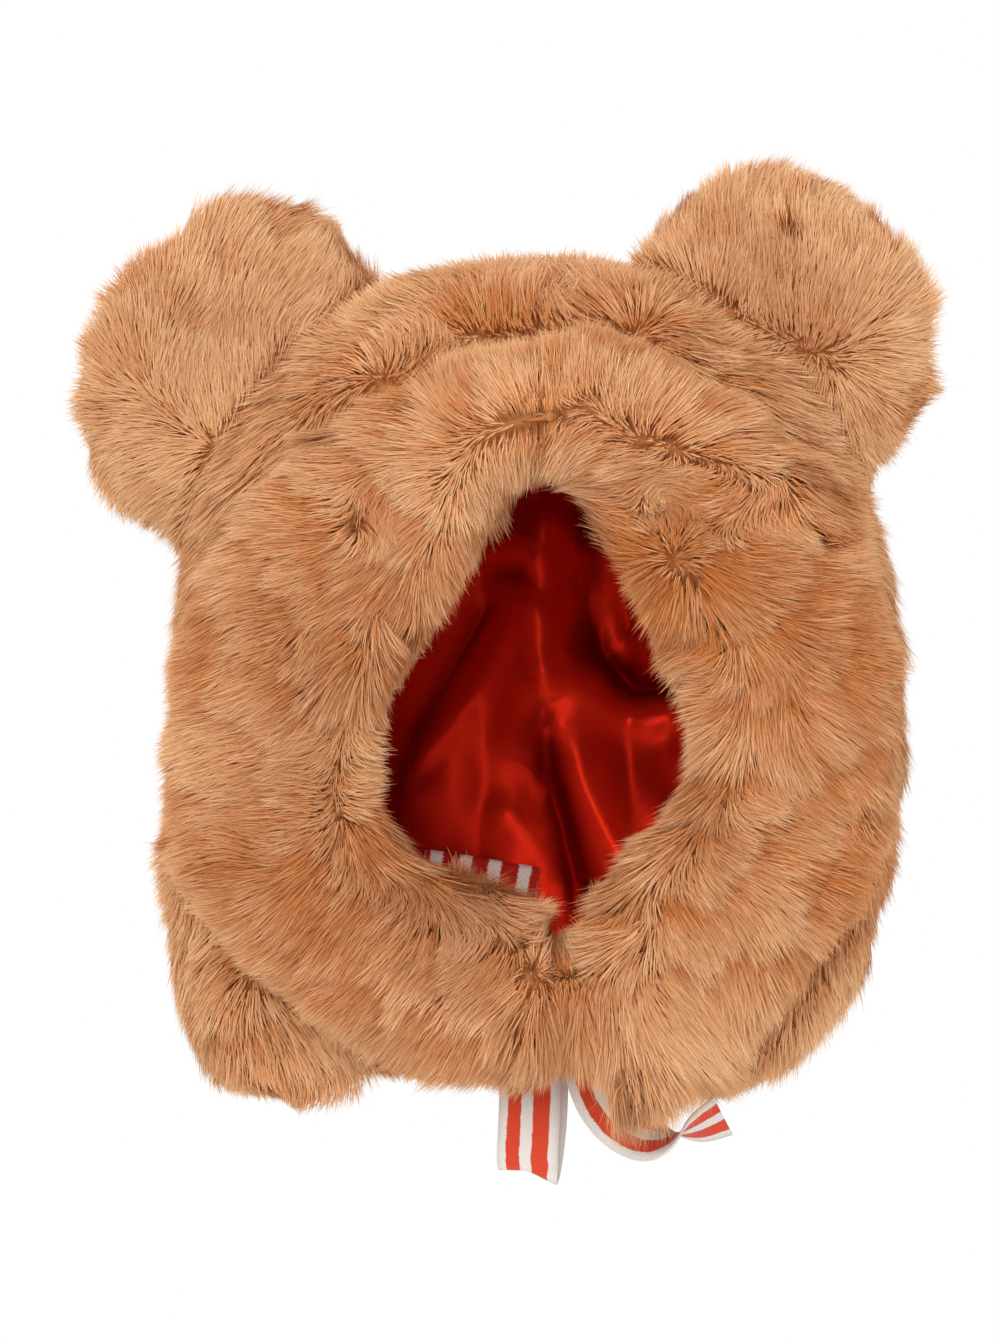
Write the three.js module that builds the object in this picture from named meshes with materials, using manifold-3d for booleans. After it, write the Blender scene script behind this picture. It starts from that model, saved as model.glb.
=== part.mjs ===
// A sewn bonnet of deep faux fur with two round stuffed ears, a padded fur band round the face, a satin
// lining and striped ribbon ties. Millimetres, +Z up, the face looks along -Y. The origin is the highest
// point inside the lining, where the crown of a head meets it.

import * as THREE from 'three';
import { mergeVertices } from 'three/addons/utils/BufferGeometryUtils.js';
import Module from 'manifold-3d';

const wasm = await Module();
wasm.setup();

// Driving dimensions
const hoodWidth = 277;        // across the fur of the shell
const hoodHeight = 305;       // from the crown's fur to the hem
const rimForward = 60;        // from the middle of the head forward to the shell's front rim
const backReach = 125;        // from the middle of the head to the back of the shell
const furPile = 15;           // pile standing on its backing
const furBacking = 2;         // knitted backing of the fur
const liningWall = 1.4;       // satin with its interlining
const clearance = 0.3;        // air between two pieces that touch
const ruffDepth = 56;         // face band, front to back
const ruffStep = 7.5;         // the face band's edge stays this far inside the shell's side
const crownStep = 28;         // the face band's top lies this far under the crown
const chinDrop = 2;           // the face band's foot reaches this far below the hem
const faceWidth = 109;        // opening inside the band
const faceHeight = 157;
const earDiameter = 116;
const earThickness = 62;
const lockLength = 33;        // a lock of pile lying on the surface
const lockWidth = 25;
const lockRise = 4.5;         // how far a lock stands above the lie of the pile
const foldDepth = 13;         // deepest fold of the loose lining
const ribbonWidth = 22;
const ribbonThickness = 1.2;
const leftTieDrop = 41;       // how far each tie hangs below its seam
const rightTieReach = 66;
const patchWidth = 46;        // ribbon piece at the nape
const patchHeight = 24;
const patchThickness = 1;
const seamRise = 35;          // the lining's front wall ends this far above the hem, behind the ties' seams

// Sizes that follow
const lieDepth = lockRise / 2;
const hoodWall = furPile + furBacking;
const crownTop = hoodWall + clearance + liningWall;
const hemLevel = crownTop - hoodHeight;
const ruffWidth = hoodWidth - 2 * ruffStep;
const ruffHeight = hoodHeight - crownStep + chinDrop;
const ruffMiddle = crownTop - crownStep - ruffHeight / 2;
const ruffBack = -rimForward - clearance;

// Shell, level by level. down: share of the height below the crown. left, right: shares of half the width.
// front, back: shares of the depth behind the rim, forward and back from the middle of the head.
const hoodLevels = [
  { down: 0.004, left: 0.11, right: 0.17, front: 0.03, back: 0.17 },
  { down: 0.026, left: 0.37, right: 0.34, front: 0.20, back: 0.31 },
  { down: 0.061, left: 0.51, right: 0.45, front: 0.33, back: 0.41 },
  { down: 0.109, left: 0.62, right: 0.58, front: 0.44, back: 0.49 },
  { down: 0.156, left: 0.72, right: 0.69, front: 0.51, back: 0.545 },
  { down: 0.21, left: 0.80, right: 0.78, front: 0.56, back: 0.585 },
  { down: 0.27, left: 0.88, right: 0.86, front: 0.61, back: 0.62 },
  { down: 0.36, left: 0.95, right: 0.925, front: 0.70, back: 0.655 },
  { down: 0.51, left: 0.975, right: 0.965, front: 0.86, back: 0.675 },
  { down: 0.62, left: 0.985, right: 0.96, front: 0.93, back: 0.67 },
  { down: 0.73, left: 1.0, right: 0.935, front: 0.90, back: 0.64 },
  { down: 0.82, left: 0.985, right: 0.89, front: 0.82, back: 0.60 },
  { down: 0.89, left: 0.97, right: 0.825, front: 0.74, back: 0.555 },
  { down: 0.955, left: 0.915, right: 0.70, front: 0.66, back: 0.50 },
  { down: 1.0, left: 0.81, right: 0.55, front: 0.59, back: 0.45 },
];

// Face band, turn by turn from the right end at the chin over the top to the left end. The shares are of
// half the opening and of half the band's width and height.
const ruffTurns = [
  { turn: -81, inner: 0.95, outer: 1.04 },
  { turn: -60, inner: 0.79, outer: 0.99 },
  { turn: -40, inner: 0.79, outer: 0.945 },
  { turn: -20, inner: 0.93, outer: 0.975 },
  { turn: 0, inner: 0.92, outer: 0.965 },
  { turn: 20, inner: 0.79, outer: 0.95 },
  { turn: 40, inner: 0.77, outer: 0.985 },
  { turn: 60, inner: 0.82, outer: 0.925 },
  { turn: 80, inner: 1.04, outer: 0.97 },
  { turn: 100, inner: 1.02, outer: 0.915 },
  { turn: 120, inner: 0.78, outer: 0.91 },
  { turn: 140, inner: 0.76, outer: 0.95 },
  { turn: 160, inner: 0.79, outer: 0.985 },
  { turn: 180, inner: 1.0, outer: 1.0 },
  { turn: 200, inner: 1.08, outer: 1.06 },
  { turn: 220, inner: 0.98, outer: 1.0 },
  { turn: 240, inner: 0.81, outer: 0.955 },
  { turn: 260, inner: 0.78, outer: 0.94 },
  { turn: 277, inner: 0.90, outer: 0.92 },
];

// Dents of the band. across: 0 at the inner edge, 1 at the outer. wide: degrees. tall: share of the band.
// depth: share of the band's depth, less than nothing where the band puffs out.
const ruffDents = [
  { turn: 50, across: 0.35, wide: 9, tall: 0.20, depth: 0.16 },
  { turn: 76, across: 0.75, wide: 14, tall: 0.16, depth: 0.10 },
  { turn: 104, across: 0.80, wide: 12, tall: 0.14, depth: 0.15 },
  { turn: 128, across: 0.45, wide: 8, tall: 0.22, depth: 0.10 },
  { turn: 152, across: 0.50, wide: 7, tall: 0.26, depth: 0.13 },
  { turn: 186, across: 0.35, wide: 9, tall: 0.22, depth: 0.10 },
  { turn: 222, across: 0.60, wide: 9, tall: 0.20, depth: 0.12 },
  { turn: 250, across: 0.30, wide: 8, tall: 0.22, depth: 0.09 },
  { turn: -48, across: 0.55, wide: 9, tall: 0.22, depth: 0.11 },
  { turn: -14, across: 0.60, wide: 8, tall: 0.20, depth: 0.13 },
  { turn: 22, across: 0.70, wide: 9, tall: 0.18, depth: 0.12 },
  { turn: 38, across: 0.80, wide: 8, tall: 0.20, depth: -0.08 },
  { turn: 90, across: 0.40, wide: 12, tall: 0.22, depth: -0.10 },
  { turn: 168, across: 0.65, wide: 8, tall: 0.24, depth: -0.08 },
  { turn: 236, across: 0.50, wide: 8, tall: 0.26, depth: -0.08 },
];

// Ears. side: share of half the shell's width. down: share of its height. back: share of the reach back.
// outline: shares of half the ear's diameter, from its right side round over its top.
const earShapes = {
  ear_left: {
    side: -0.79, down: 0.155, back: 0.16, tilt: 6,
    outline: [0.98, 1.04, 1.13, 1.17, 1.08, 0.97, 0.94, 0.96, 0.97, 1.0, 1.04, 1.06, 1.05, 1.0, 0.96, 0.95],
    dents: [
      { x: -0.42, z: -0.02, wide: 0.30, tall: 0.55, depth: 0.22 },
      { x: 0.35, z: 0.30, wide: 0.35, tall: 0.35, depth: -0.12 },
      { x: -0.10, z: -0.65, wide: 0.40, tall: 0.25, depth: -0.10 },
    ],
  },
  ear_right: {
    side: 0.615, down: 0.10, back: 0.12, tilt: -4,
    outline: [0.97, 0.96, 0.92, 0.94, 1.0, 1.03, 1.03, 0.98, 0.96, 0.95, 0.95, 0.98, 1.04, 1.10, 1.06, 1.0],
    dents: [
      { x: -0.10, z: 0.12, wide: 0.28, tall: 0.50, depth: 0.18 },
      { x: 0.50, z: -0.25, wide: 0.30, tall: 0.40, depth: 0.14 },
      { x: 0.25, z: 0.45, wide: 0.35, tall: 0.30, depth: -0.12 },
    ],
  },
};

// Folds of the lining. topTurn, bottomTurn: where the fold starts and ends round the head, 90 at the back.
// top, bottom: shares of the height. spread: degrees. depth: share of the deepest fold.
const liningFolds = [
  { topTurn: 92, bottomTurn: 78, top: 0.10, bottom: 0.98, spread: 7.5, depth: 1.0 },
  { topTurn: 62, bottomTurn: 46, top: 0.20, bottom: 0.90, spread: 7.5, depth: 0.9 },
  { topTurn: 122, bottomTurn: 134, top: 0.16, bottom: 0.86, spread: 8, depth: 0.8 },
  { topTurn: 28, bottomTurn: 18, top: 0.28, bottom: 0.96, spread: 8, depth: 0.7 },
  { topTurn: 158, bottomTurn: 164, top: 0.30, bottom: 0.96, spread: 8, depth: 0.7 },
  { topTurn: -4, bottomTurn: -12, top: 0.34, bottom: 0.90, spread: 8, depth: 0.5 },
  { topTurn: 188, bottomTurn: 194, top: 0.34, bottom: 0.90, spread: 8, depth: 0.5 },
];

// Ties, row by row from the seam. x, y, z: shares of the tie's drop or reach. across: heading of the
// ribbon's width in the front view. yaw: how far the width turns out of that view. Both are degrees.
const leftTieRows = [
  { x: 0.01, y: 0.0, z: 0.24, across: 0, yaw: 0 },
  { x: 0.01, y: 0.0, z: 0.06, across: 0, yaw: 0 },
  { x: 0.01, y: 0.0, z: -0.20, across: -2, yaw: -3 },
  { x: 0.0, y: -0.01, z: -0.45, across: -8, yaw: -6 },
  { x: -0.01, y: 0.01, z: -0.68, across: -15, yaw: -6 },
  { x: 0.0, y: 0.05, z: -0.80, across: -19, yaw: 0 },
  { x: 0.02, y: 0.10, z: -0.78, across: -19, yaw: 8 },
  { x: 0.05, y: 0.14, z: -0.62, across: -13, yaw: 14 },
  { x: 0.07, y: 0.15, z: -0.38, across: -6, yaw: 12 },
  { x: 0.08, y: 0.14, z: -0.10, across: 0, yaw: 8 },
  { x: 0.08, y: 0.12, z: 0.16, across: 0, yaw: 4 },
];
const rightTieRows = [
  { x: 0.0, y: 0.0, z: 0.26, across: 10, yaw: 0 },
  { x: 0.0, y: 0.0, z: 0.06, across: 25, yaw: 0 },
  { x: 0.05, y: 0.0, z: -0.10, across: 38, yaw: 0 },
  { x: 0.14, y: 0.0, z: -0.22, across: 52, yaw: 2 },
  { x: 0.25, y: 0.02, z: -0.29, across: 68, yaw: 20 },
  { x: 0.36, y: 0.04, z: -0.31, across: 82, yaw: 62 },
  { x: 0.46, y: 0.05, z: -0.30, across: 92, yaw: 100 },
  { x: 0.56, y: 0.05, z: -0.27, across: 98, yaw: 125 },
  { x: 0.68, y: 0.05, z: -0.21, across: 104, yaw: 138 },
];

const paint = {
  hood: { color: 0xcb8a5b, roughness: 0.9 },
  face_ruff: { color: 0xd0905f, roughness: 0.9 },
  ear_left: { color: 0xcf8d5f, roughness: 0.9 },
  ear_right: { color: 0xcf8d5f, roughness: 0.9 },
  lining: { color: 0x8e1009, roughness: 0.35 },
  neck_patch: { color: 0xd64a2f, roughness: 0.8 },
  tie_left: { color: 0xd64a2f, roughness: 0.8 },
  tie_right: { color: 0xd64a2f, roughness: 0.8 },
};

// Section of the face band, in shares of its depth: its middle, and its reach from there to front and back
const ruffSection = { middle: 0.32, front: 0.68, back: 0.46 };

// Where the nape's ribbon piece sits: share of the height, degrees round the head, and its lean in degrees
const patchPlace = { down: 0.782, turn: 98.2, lean: 9 };

// Where the ties are sewn in, from the middle of the face, in shares of the ribbon's width
const tieSeams = { left: -0.2, right: 0.85 };

const earGap = 1.15;          // the shell has no locks within this share of an ear's radius
const lieColumns = 28;        // facets round the shell's fur
const cavityColumns = 40;     // facets round its cavity, and round the lining that hangs in it

const radians = THREE.MathUtils.degToRad;
const bell = (distance, spread) => Math.exp(-((distance / spread) ** 2));
const wrapped = (degrees) => THREE.MathUtils.euclideanModulo(degrees + 180, 360) - 180;

// The row of a table at any value of its first column, on straight lines between its rows.
function readTable(rows, column, at) {
  const upper = rows.findIndex((row) => row[column] >= at);
  if (upper === 0) return rows[0];
  if (upper < 0) return rows[rows.length - 1];
  const [before, after] = [rows[upper - 1], rows[upper]];
  const part = (at - before[column]) / (after[column] - before[column]);
  const blend = (name) => [name, THREE.MathUtils.lerp(before[name], after[name], part)];
  return Object.fromEntries(Object.keys(after).map(blend));
}

function signedVolume(points, index) {
  let sum = 0;
  for (let i = 0; i < index.length; i += 3) {
    const [a, b, c] = [points[index[i]], points[index[i + 1]], points[index[i + 2]]];
    sum += a.dot(new THREE.Vector3().crossVectors(b, c)) / 6;
  }
  return sum;
}

function solidFromPoints(points, index) {
  if (signedVolume(points, index) < 0) index.reverse();
  const geometry = new THREE.BufferGeometry().setFromPoints(points);
  geometry.setIndex(index);
  const merged = mergeVertices(geometry, 1e-4);
  return new wasm.Manifold(new wasm.Mesh({
    numProp: 3,
    vertProperties: new Float32Array(merged.attributes.position.array),
    triVerts: new Uint32Array(merged.index.array),
  }));
}

// A closed solid through rings of equally many points, with a fan over the first ring and the last.
function loft(rings) {
  const count = rings[0].length;
  const points = rings.flat();
  const index = [];
  for (let ring = 0; ring + 1 < rings.length; ring += 1) {
    for (let i = 0; i < count; i += 1) {
      const a = ring * count + i;
      const b = ring * count + (i + 1) % count;
      index.push(a, b, b + count, a, b + count, a + count);
    }
  }
  const middle = (ring) => ring.reduce((sum, p) => sum.add(p), new THREE.Vector3()).divideScalar(count);
  const start = (rings.length - 1) * count;
  points.push(middle(rings[0]), middle(rings[rings.length - 1]));
  for (let i = 0; i < count; i += 1) {
    const next = (i + 1) % count;
    index.push(next, i, points.length - 2);
    index.push(start + i, start + next, points.length - 1);
  }
  return solidFromPoints(points, index);
}

function box(low, high) {
  const size = high.clone().sub(low);
  return wasm.Manifold.cube(size.toArray()).translate(low.toArray());
}

// One lock of pile, lying on a surface that is given as a function of two values. It rises out of its root
// and tapers to a tip a lock's length away, at a heading in degrees from the first value to the second.
function lockOn(surface, first, second, heading, scale = 1) {
  const frameAt = (u, v) => {
    const point = surface(u, v);
    const [stepU, stepV] = [surface(u + surface.step, v).sub(point), surface(u, v + 1).sub(point)];
    const outward = new THREE.Vector3().crossVectors(stepU, stepV).multiplyScalar(surface.side).normalize();
    return { point, outward, stepU, stepV };
  };
  const root = frameAt(first, second);
  const reachU = Math.cos(radians(heading)) * surface.step / root.stepU.length();
  const reachV = Math.sin(radians(heading)) / root.stepV.length();
  const along = (part) => frameAt(first + reachU * lockLength * scale * part,
    second + reachV * lockLength * scale * part);
  const [middle, tip] = [along(0.45), along(1)];
  const ridge = new THREE.Vector3().subVectors(tip.point, root.point);
  const side = new THREE.Vector3().crossVectors(middle.outward, ridge).setLength(lockWidth * scale / 2);
  const lift = (frame, rise) => frame.point.clone().addScaledVector(frame.outward, rise * lockRise);
  const points = [
    lift(root, -0.6), lift(middle, -0.3).sub(side), lift(middle, 1), lift(middle, -0.3).add(side),
    lift(middle, -1.4), lift(tip, 0.7),
  ];
  const index = [0, 1, 2, 0, 2, 3, 0, 3, 4, 0, 4, 1, 5, 2, 1, 5, 3, 2, 5, 4, 3, 5, 1, 4];
  return solidFromPoints(points, index);
}

// A point of the shell's outer form at a share of its height. turn: 0 at the right, 90 at the back.
function hoodSurface(down, turn) {
  const row = readTable(hoodLevels, 'down', down);
  const half = hoodWidth / 2;
  const depth = rimForward + backReach;
  const angle = radians(turn);
  const [cos, sin] = [Math.cos(angle), Math.sin(angle)];
  const reach = sin > 0 ? row.back * depth : row.front * depth;
  const middle = (row.right - row.left) / 2 * half;
  const across = (row.right + row.left) / 2 * half;
  return new THREE.Vector3(middle + across * cos, reach * sin, crownTop - down * hoodHeight);
}

function hoodNormal(down, turn) {
  const [above, below] = [Math.max(down - 0.02, 0.004), Math.min(down + 0.02, 1)];
  const fall = hoodSurface(below, turn).sub(hoodSurface(above, turn));
  const round = hoodSurface(down, turn + 3).sub(hoodSurface(down, turn - 3));
  return new THREE.Vector3().crossVectors(fall, round).normalize();
}

// The same point, moved in by a depth.
function hoodPoint(down, turn, inset) {
  return hoodSurface(down, turn).addScaledVector(hoodNormal(down, turn), -inset);
}

// The shell's form at one depth under the pile's tips. Below the hem it runs on by the given length.
function hoodForm(insetAt, columns, runOn = 0) {
  const turns = Array.from({ length: columns }, (_, i) => i * 360 / columns);
  const ring = (down) => turns.map((turn) => hoodPoint(down, turn, insetAt(down, turn)));
  const rings = hoodLevels.map((row) => ring(row.down));
  if (runOn > 0) {
    const low = rings[rings.length - 1].map((point) => point.clone().setZ(point.z - runOn));
    rings.push(low);
  }
  return loft(rings);
}

function earCentre(shape) {
  const x = shape.side * hoodWidth / 2;
  return new THREE.Vector3(x, shape.back * backReach, crownTop - shape.down * hoodHeight);
}

function nearEar(point, margin) {
  return Object.values(earShapes).some((shape) => {
    const offset = point.clone().sub(earCentre(shape));
    offset.y *= earDiameter / earThickness;
    return offset.length() < earDiameter / 2 * earGap + margin;
  });
}

// Locks of the shell, row under row, combed down and a little to and fro.
function hoodLocks() {
  const locks = [];
  const lie = (down, turn) => hoodPoint(down, turn, lieDepth);
  Object.assign(lie, { step: 0.02, side: 1 });
  const rows = Math.round(hoodHeight / (1.25 * lockLength));
  for (let row = 0; row <= rows; row += 1) {
    const down = 0.03 + 0.89 * row / rows;
    const girth = hoodSurface(down, 0).distanceTo(hoodSurface(down, 180)) * Math.PI;
    const count = Math.max(5, Math.round(girth / (1.65 * lockWidth)));
    for (let i = 0; i < count; i += 1) {
      const turn = (i + (row % 2) / 2) * 360 / count;
      const root = lie(down, turn);
      if (root.y < -rimForward + lockWidth / 2 || nearEar(root, lockLength * 0.8)) continue;
      locks.push(lockOn(lie, down, turn, 24 * Math.sin(2.4 * i + row)));
    }
  }
  return locks;
}

// A point of the face band. around: 0 at its outer edge, 90 at the front, 180 at the inner edge.
function ruffPoint(turn, around, fullness = 1) {
  const row = readTable(ruffTurns, 'turn', turn);
  const [cos, sin] = [Math.cos(radians(turn)), Math.sin(radians(turn))];
  const inner = new THREE.Vector2(faceWidth / 2 * row.inner * cos, faceHeight / 2 * row.inner * sin);
  const outer = new THREE.Vector2(ruffWidth / 2 * row.outer * cos, ruffHeight / 2 * row.outer * sin);
  const [c, s] = [Math.cos(radians(around)), Math.sin(radians(around))];
  const rounded = (value, power) => Math.sign(value) * Math.abs(value) ** power;
  const across = 0.5 + 0.5 * fullness * rounded(c, 0.85);
  const dent = ruffDents.reduce((sum, d) => sum
    + d.depth * bell(wrapped(turn - d.turn), d.wide) * bell(across - d.across, d.tall), 0);
  const forward = (ruffSection.front - 1.4 * dent) * rounded(Math.max(s, 0), 0.8);
  const rearward = ruffSection.back * rounded(Math.max(-s, 0), 0.8);
  const level = ruffSection.middle + fullness * (forward - rearward);
  const flat = inner.lerp(outer, across);
  return new THREE.Vector3(flat.x, ruffBack - ruffDepth * level, ruffMiddle + flat.y);
}

function ruffForm() {
  const [first, last] = [ruffTurns[0].turn, ruffTurns[ruffTurns.length - 1].turn];
  const ends = [{ in: 0, fullness: 0.3 }, { in: 1.2, fullness: 0.62 }, { in: 3.5, fullness: 0.86 },
    { in: 7, fullness: 0.97 }];
  const stations = ends.map((end) => ({ turn: first + end.in, fullness: end.fullness }));
  const steps = 30;
  for (let i = 1; i < steps; i += 1) {
    stations.push({ turn: first + 7 + (last - first - 14) * i / steps, fullness: 1 });
  }
  ends.toReversed().forEach((end) => stations.push({ turn: last - end.in, fullness: end.fullness }));
  const arounds = Array.from({ length: 15 }, (_, i) => i * 24);
  return loft(stations.map((s) => arounds.map((around) => ruffPoint(s.turn, around, s.fullness))));
}

// Locks of the band, combed in over its inner edge and out over its front and its outer edge.
function ruffLocks() {
  const locks = [];
  const lie = (around, turn) => ruffPoint(turn, around);
  Object.assign(lie, { step: 4, side: -1 });
  const rows = [
    { around: 138, heading: 0, count: 14, scale: 0.75 },
    { around: 112, heading: 180, count: 17, scale: 1 },
    { around: 74, heading: 180, count: 18, scale: 1.1 },
    { around: 32, heading: 180, count: 21, scale: 1 },
  ];
  const [first, last] = [ruffTurns[0].turn + 7, ruffTurns[ruffTurns.length - 1].turn - 7];
  rows.forEach((row, line) => {
    for (let i = 0; i < row.count; i += 1) {
      const turn = first + (last - first) * (i + (line % 2) / 2 + 0.25) / row.count;
      locks.push(lockOn(lie, row.around, turn, row.heading + 28 * Math.sin(1.9 * i + line), row.scale));
    }
  });
  return locks;
}

// A stuffed ear as a thick cushion, with its outline in the front view and dents in its two faces.
function earPoint(shape, turn, level) {
  const steps = shape.outline.length;
  const at = turn / 360 * steps;
  const [before, after] = [Math.floor(at) % steps, (Math.floor(at) + 1) % steps];
  const share = THREE.MathUtils.lerp(shape.outline[before], shape.outline[after], at - Math.floor(at));
  const swell = (1 - Math.abs(level) ** 2.3) ** (1 / 2.3);
  const [x, z] = [share * swell * Math.cos(radians(turn)), share * swell * Math.sin(radians(turn))];
  const dent = shape.dents.reduce((sum, d) => sum
    + d.depth * bell(x - d.x, d.wide) * bell(z - d.z, d.tall), 0);
  const y = level * (1 - dent) * earThickness / 2;
  const point = new THREE.Vector3(x * earDiameter / 2, y, z * earDiameter / 2);
  return point.applyAxisAngle(new THREE.Vector3(0, 0, 1), radians(shape.tilt)).add(earCentre(shape));
}

function earForm(shape) {
  const levels = [-0.998, -0.97, -0.86, -0.6, -0.2, 0.2, 0.6, 0.86, 0.97, 0.998];
  const turns = Array.from({ length: 20 }, (_, i) => i * 18);
  return loft(levels.map((level) => turns.map((turn) => earPoint(shape, turn, level))));
}

// Locks of an ear, combed from the middle of its two faces out to its edge and down.
function earLocks(shape) {
  const locks = [];
  const lie = (level, turn) => earPoint(shape, turn, THREE.MathUtils.clamp(level, -0.995, 0.995));
  Object.assign(lie, { step: 0.04, side: -1 });
  const rows = [
    { level: -0.9, heading: 0, count: 5 },
    { level: -0.6, heading: 20, count: 7 },
    { level: -0.1, heading: 60, count: 9 },
    { level: 0.3, heading: 150, count: 9 },
    { level: 0.75, heading: 180, count: 6 },
  ];
  rows.forEach((row, line) => {
    for (let i = 0; i < row.count; i += 1) {
      const turn = (i + (line % 2) / 2) * 360 / row.count;
      const root = lie(row.level, turn);
      if (insideShell(root, lockLength)) continue;
      locks.push(lockOn(lie, row.level, turn, row.heading + 30 * Math.sin(2.1 * i + line), 0.85));
    }
  });
  return locks;
}

// Whether a point lies within the shell's outer form, or nearer to it than the margin.
function insideShell(point, margin) {
  const down = THREE.MathUtils.clamp((crownTop - point.z) / hoodHeight, 0.004, 1);
  const row = readTable(hoodLevels, 'down', down);
  const half = hoodWidth / 2;
  const middle = (row.right - row.left) / 2 * half;
  const across = (row.right + row.left) / 2 * half + margin;
  const reach = (point.y > 0 ? row.back : row.front) * (rimForward + backReach) + margin;
  return ((point.x - middle) / across) ** 2 + (point.y / reach) ** 2 < 1 && point.z < crownTop + margin;
}

// The largest single body of a solid, without the crumbs that a cut may leave.
function largestBody(solid) {
  const bodies = solid.decompose();
  return bodies.reduce((best, body) => (body.volume() > best.volume() ? body : best));
}

function makeHood() {
  const lie = hoodForm(() => lieDepth, lieColumns);
  const cavity = hoodForm(() => hoodWall, cavityColumns, 2 * lockLength);
  const reach = hoodWidth + hoodHeight;
  const front = box(new THREE.Vector3(-reach, -2 * reach, -2 * reach),
    new THREE.Vector3(reach, -rimForward, reach));
  const furred = hoodLocks().reduce((sum, one) => sum.add(one), lie);
  return largestBody(furred.subtract(cavity).subtract(front));
}

function makeRuff() {
  const reach = hoodWidth + hoodHeight;
  const low = new THREE.Vector3(-reach, ruffBack, -2 * reach);
  const behind = box(low, new THREE.Vector3(reach, reach, reach));
  const furred = ruffLocks().reduce((sum, one) => sum.add(one), ruffForm());
  return largestBody(furred.subtract(behind));
}

function makeEar(shape) {
  const seat = hoodForm(() => lieDepth - clearance, lieColumns);
  const furred = earLocks(shape).reduce((sum, one) => sum.add(one), earForm(shape));
  return largestBody(furred.subtract(seat));
}

function foldAt(down, turn) {
  const depth = liningFolds.reduce((sum, fold) => {
    const part = (down - fold.top) / (fold.bottom - fold.top);
    if (part <= 0 || part >= 1) return sum;
    const middle = THREE.MathUtils.lerp(fold.topTurn, fold.bottomTurn, part);
    return sum + fold.depth * Math.sin(Math.PI * part) ** 0.6 * bell(wrapped(turn - middle), fold.spread);
  }, 0);
  return foldDepth * Math.min(depth, 1);
}

const liningInset = (down, turn) => hoodWall + clearance + foldAt(down, turn);

// The satin bag: loose inside the shell, closed behind the face band but for the face, open at the neck.
function makeLining() {
  const outside = hoodForm(liningInset, cavityColumns);
  const innerInset = (down, turn) => liningInset(down, turn) + liningWall;
  const inside = hoodForm(innerInset, cavityColumns, 2 * lockLength);
  const reach = hoodWidth + hoodHeight;
  const frontFace = -rimForward + clearance;
  const low = new THREE.Vector3(-reach, -2 * reach, -2 * reach);
  const ahead = box(low, new THREE.Vector3(reach, frontFace, reach));
  const aheadInside = box(low, new THREE.Vector3(reach, frontFace + liningWall, reach));
  const bag = outside.subtract(ahead).subtract(inside.subtract(aheadInside));
  const turns = Array.from({ length: 32 }, (_, i) => -81 + i * 358 / 32);
  const outline = (y) => turns.map((turn) => ruffPoint(turn, 180).setY(y));
  const face = loft([outline(frontFace - 1), outline(frontFace + liningWall + 1)]);
  const chin = box(new THREE.Vector3(0, frontFace - 1, 2 * hemLevel),
    new THREE.Vector3(ribbonWidth / 2, frontFace + liningWall + 1, ruffMiddle - faceHeight * 0.3));
  const seam = box(low, new THREE.Vector3(reach, frontFace + liningWall + 0.1, hemLevel + seamRise));
  return largestBody(bag.subtract(face).subtract(chin).subtract(seam));
}

// A flat ribbon along rows of centre points, its width heading as each row says.
function ribbon(rows, origin, scale) {
  const rings = rows.map((row, i) => {
    const centre = new THREE.Vector3(row.x, row.y, row.z).multiplyScalar(scale).add(origin);
    const [before, after] = [rows[Math.max(i - 1, 0)], rows[Math.min(i + 1, rows.length - 1)]];
    const along = new THREE.Vector3(after.x - before.x, after.y - before.y, after.z - before.z).normalize();
    const [across, yaw] = [radians(row.across), radians(row.yaw)];
    const width = new THREE.Vector3(Math.cos(across) * Math.cos(yaw), Math.sin(yaw),
      Math.sin(across) * Math.cos(yaw)).projectOnPlane(along).normalize();
    const normal = new THREE.Vector3().crossVectors(along, width);
    const corner = (side, face) => centre.clone().addScaledVector(width, side * ribbonWidth / 2)
      .addScaledVector(normal, face * ribbonThickness / 2);
    return [corner(-1, -1), corner(1, -1), corner(1, 1), corner(-1, 1)];
  });
  return loft(rings);
}

// The ties are sewn in behind the foot of the face band, one on each side of the chin's parting.
function makeTie(rows, side, scale) {
  const seamY = ruffBack + clearance + ribbonThickness / 2;
  const seam = new THREE.Vector3(side, seamY, hemLevel + ribbonWidth / 2);
  return ribbon(rows, seam, scale);
}

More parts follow.
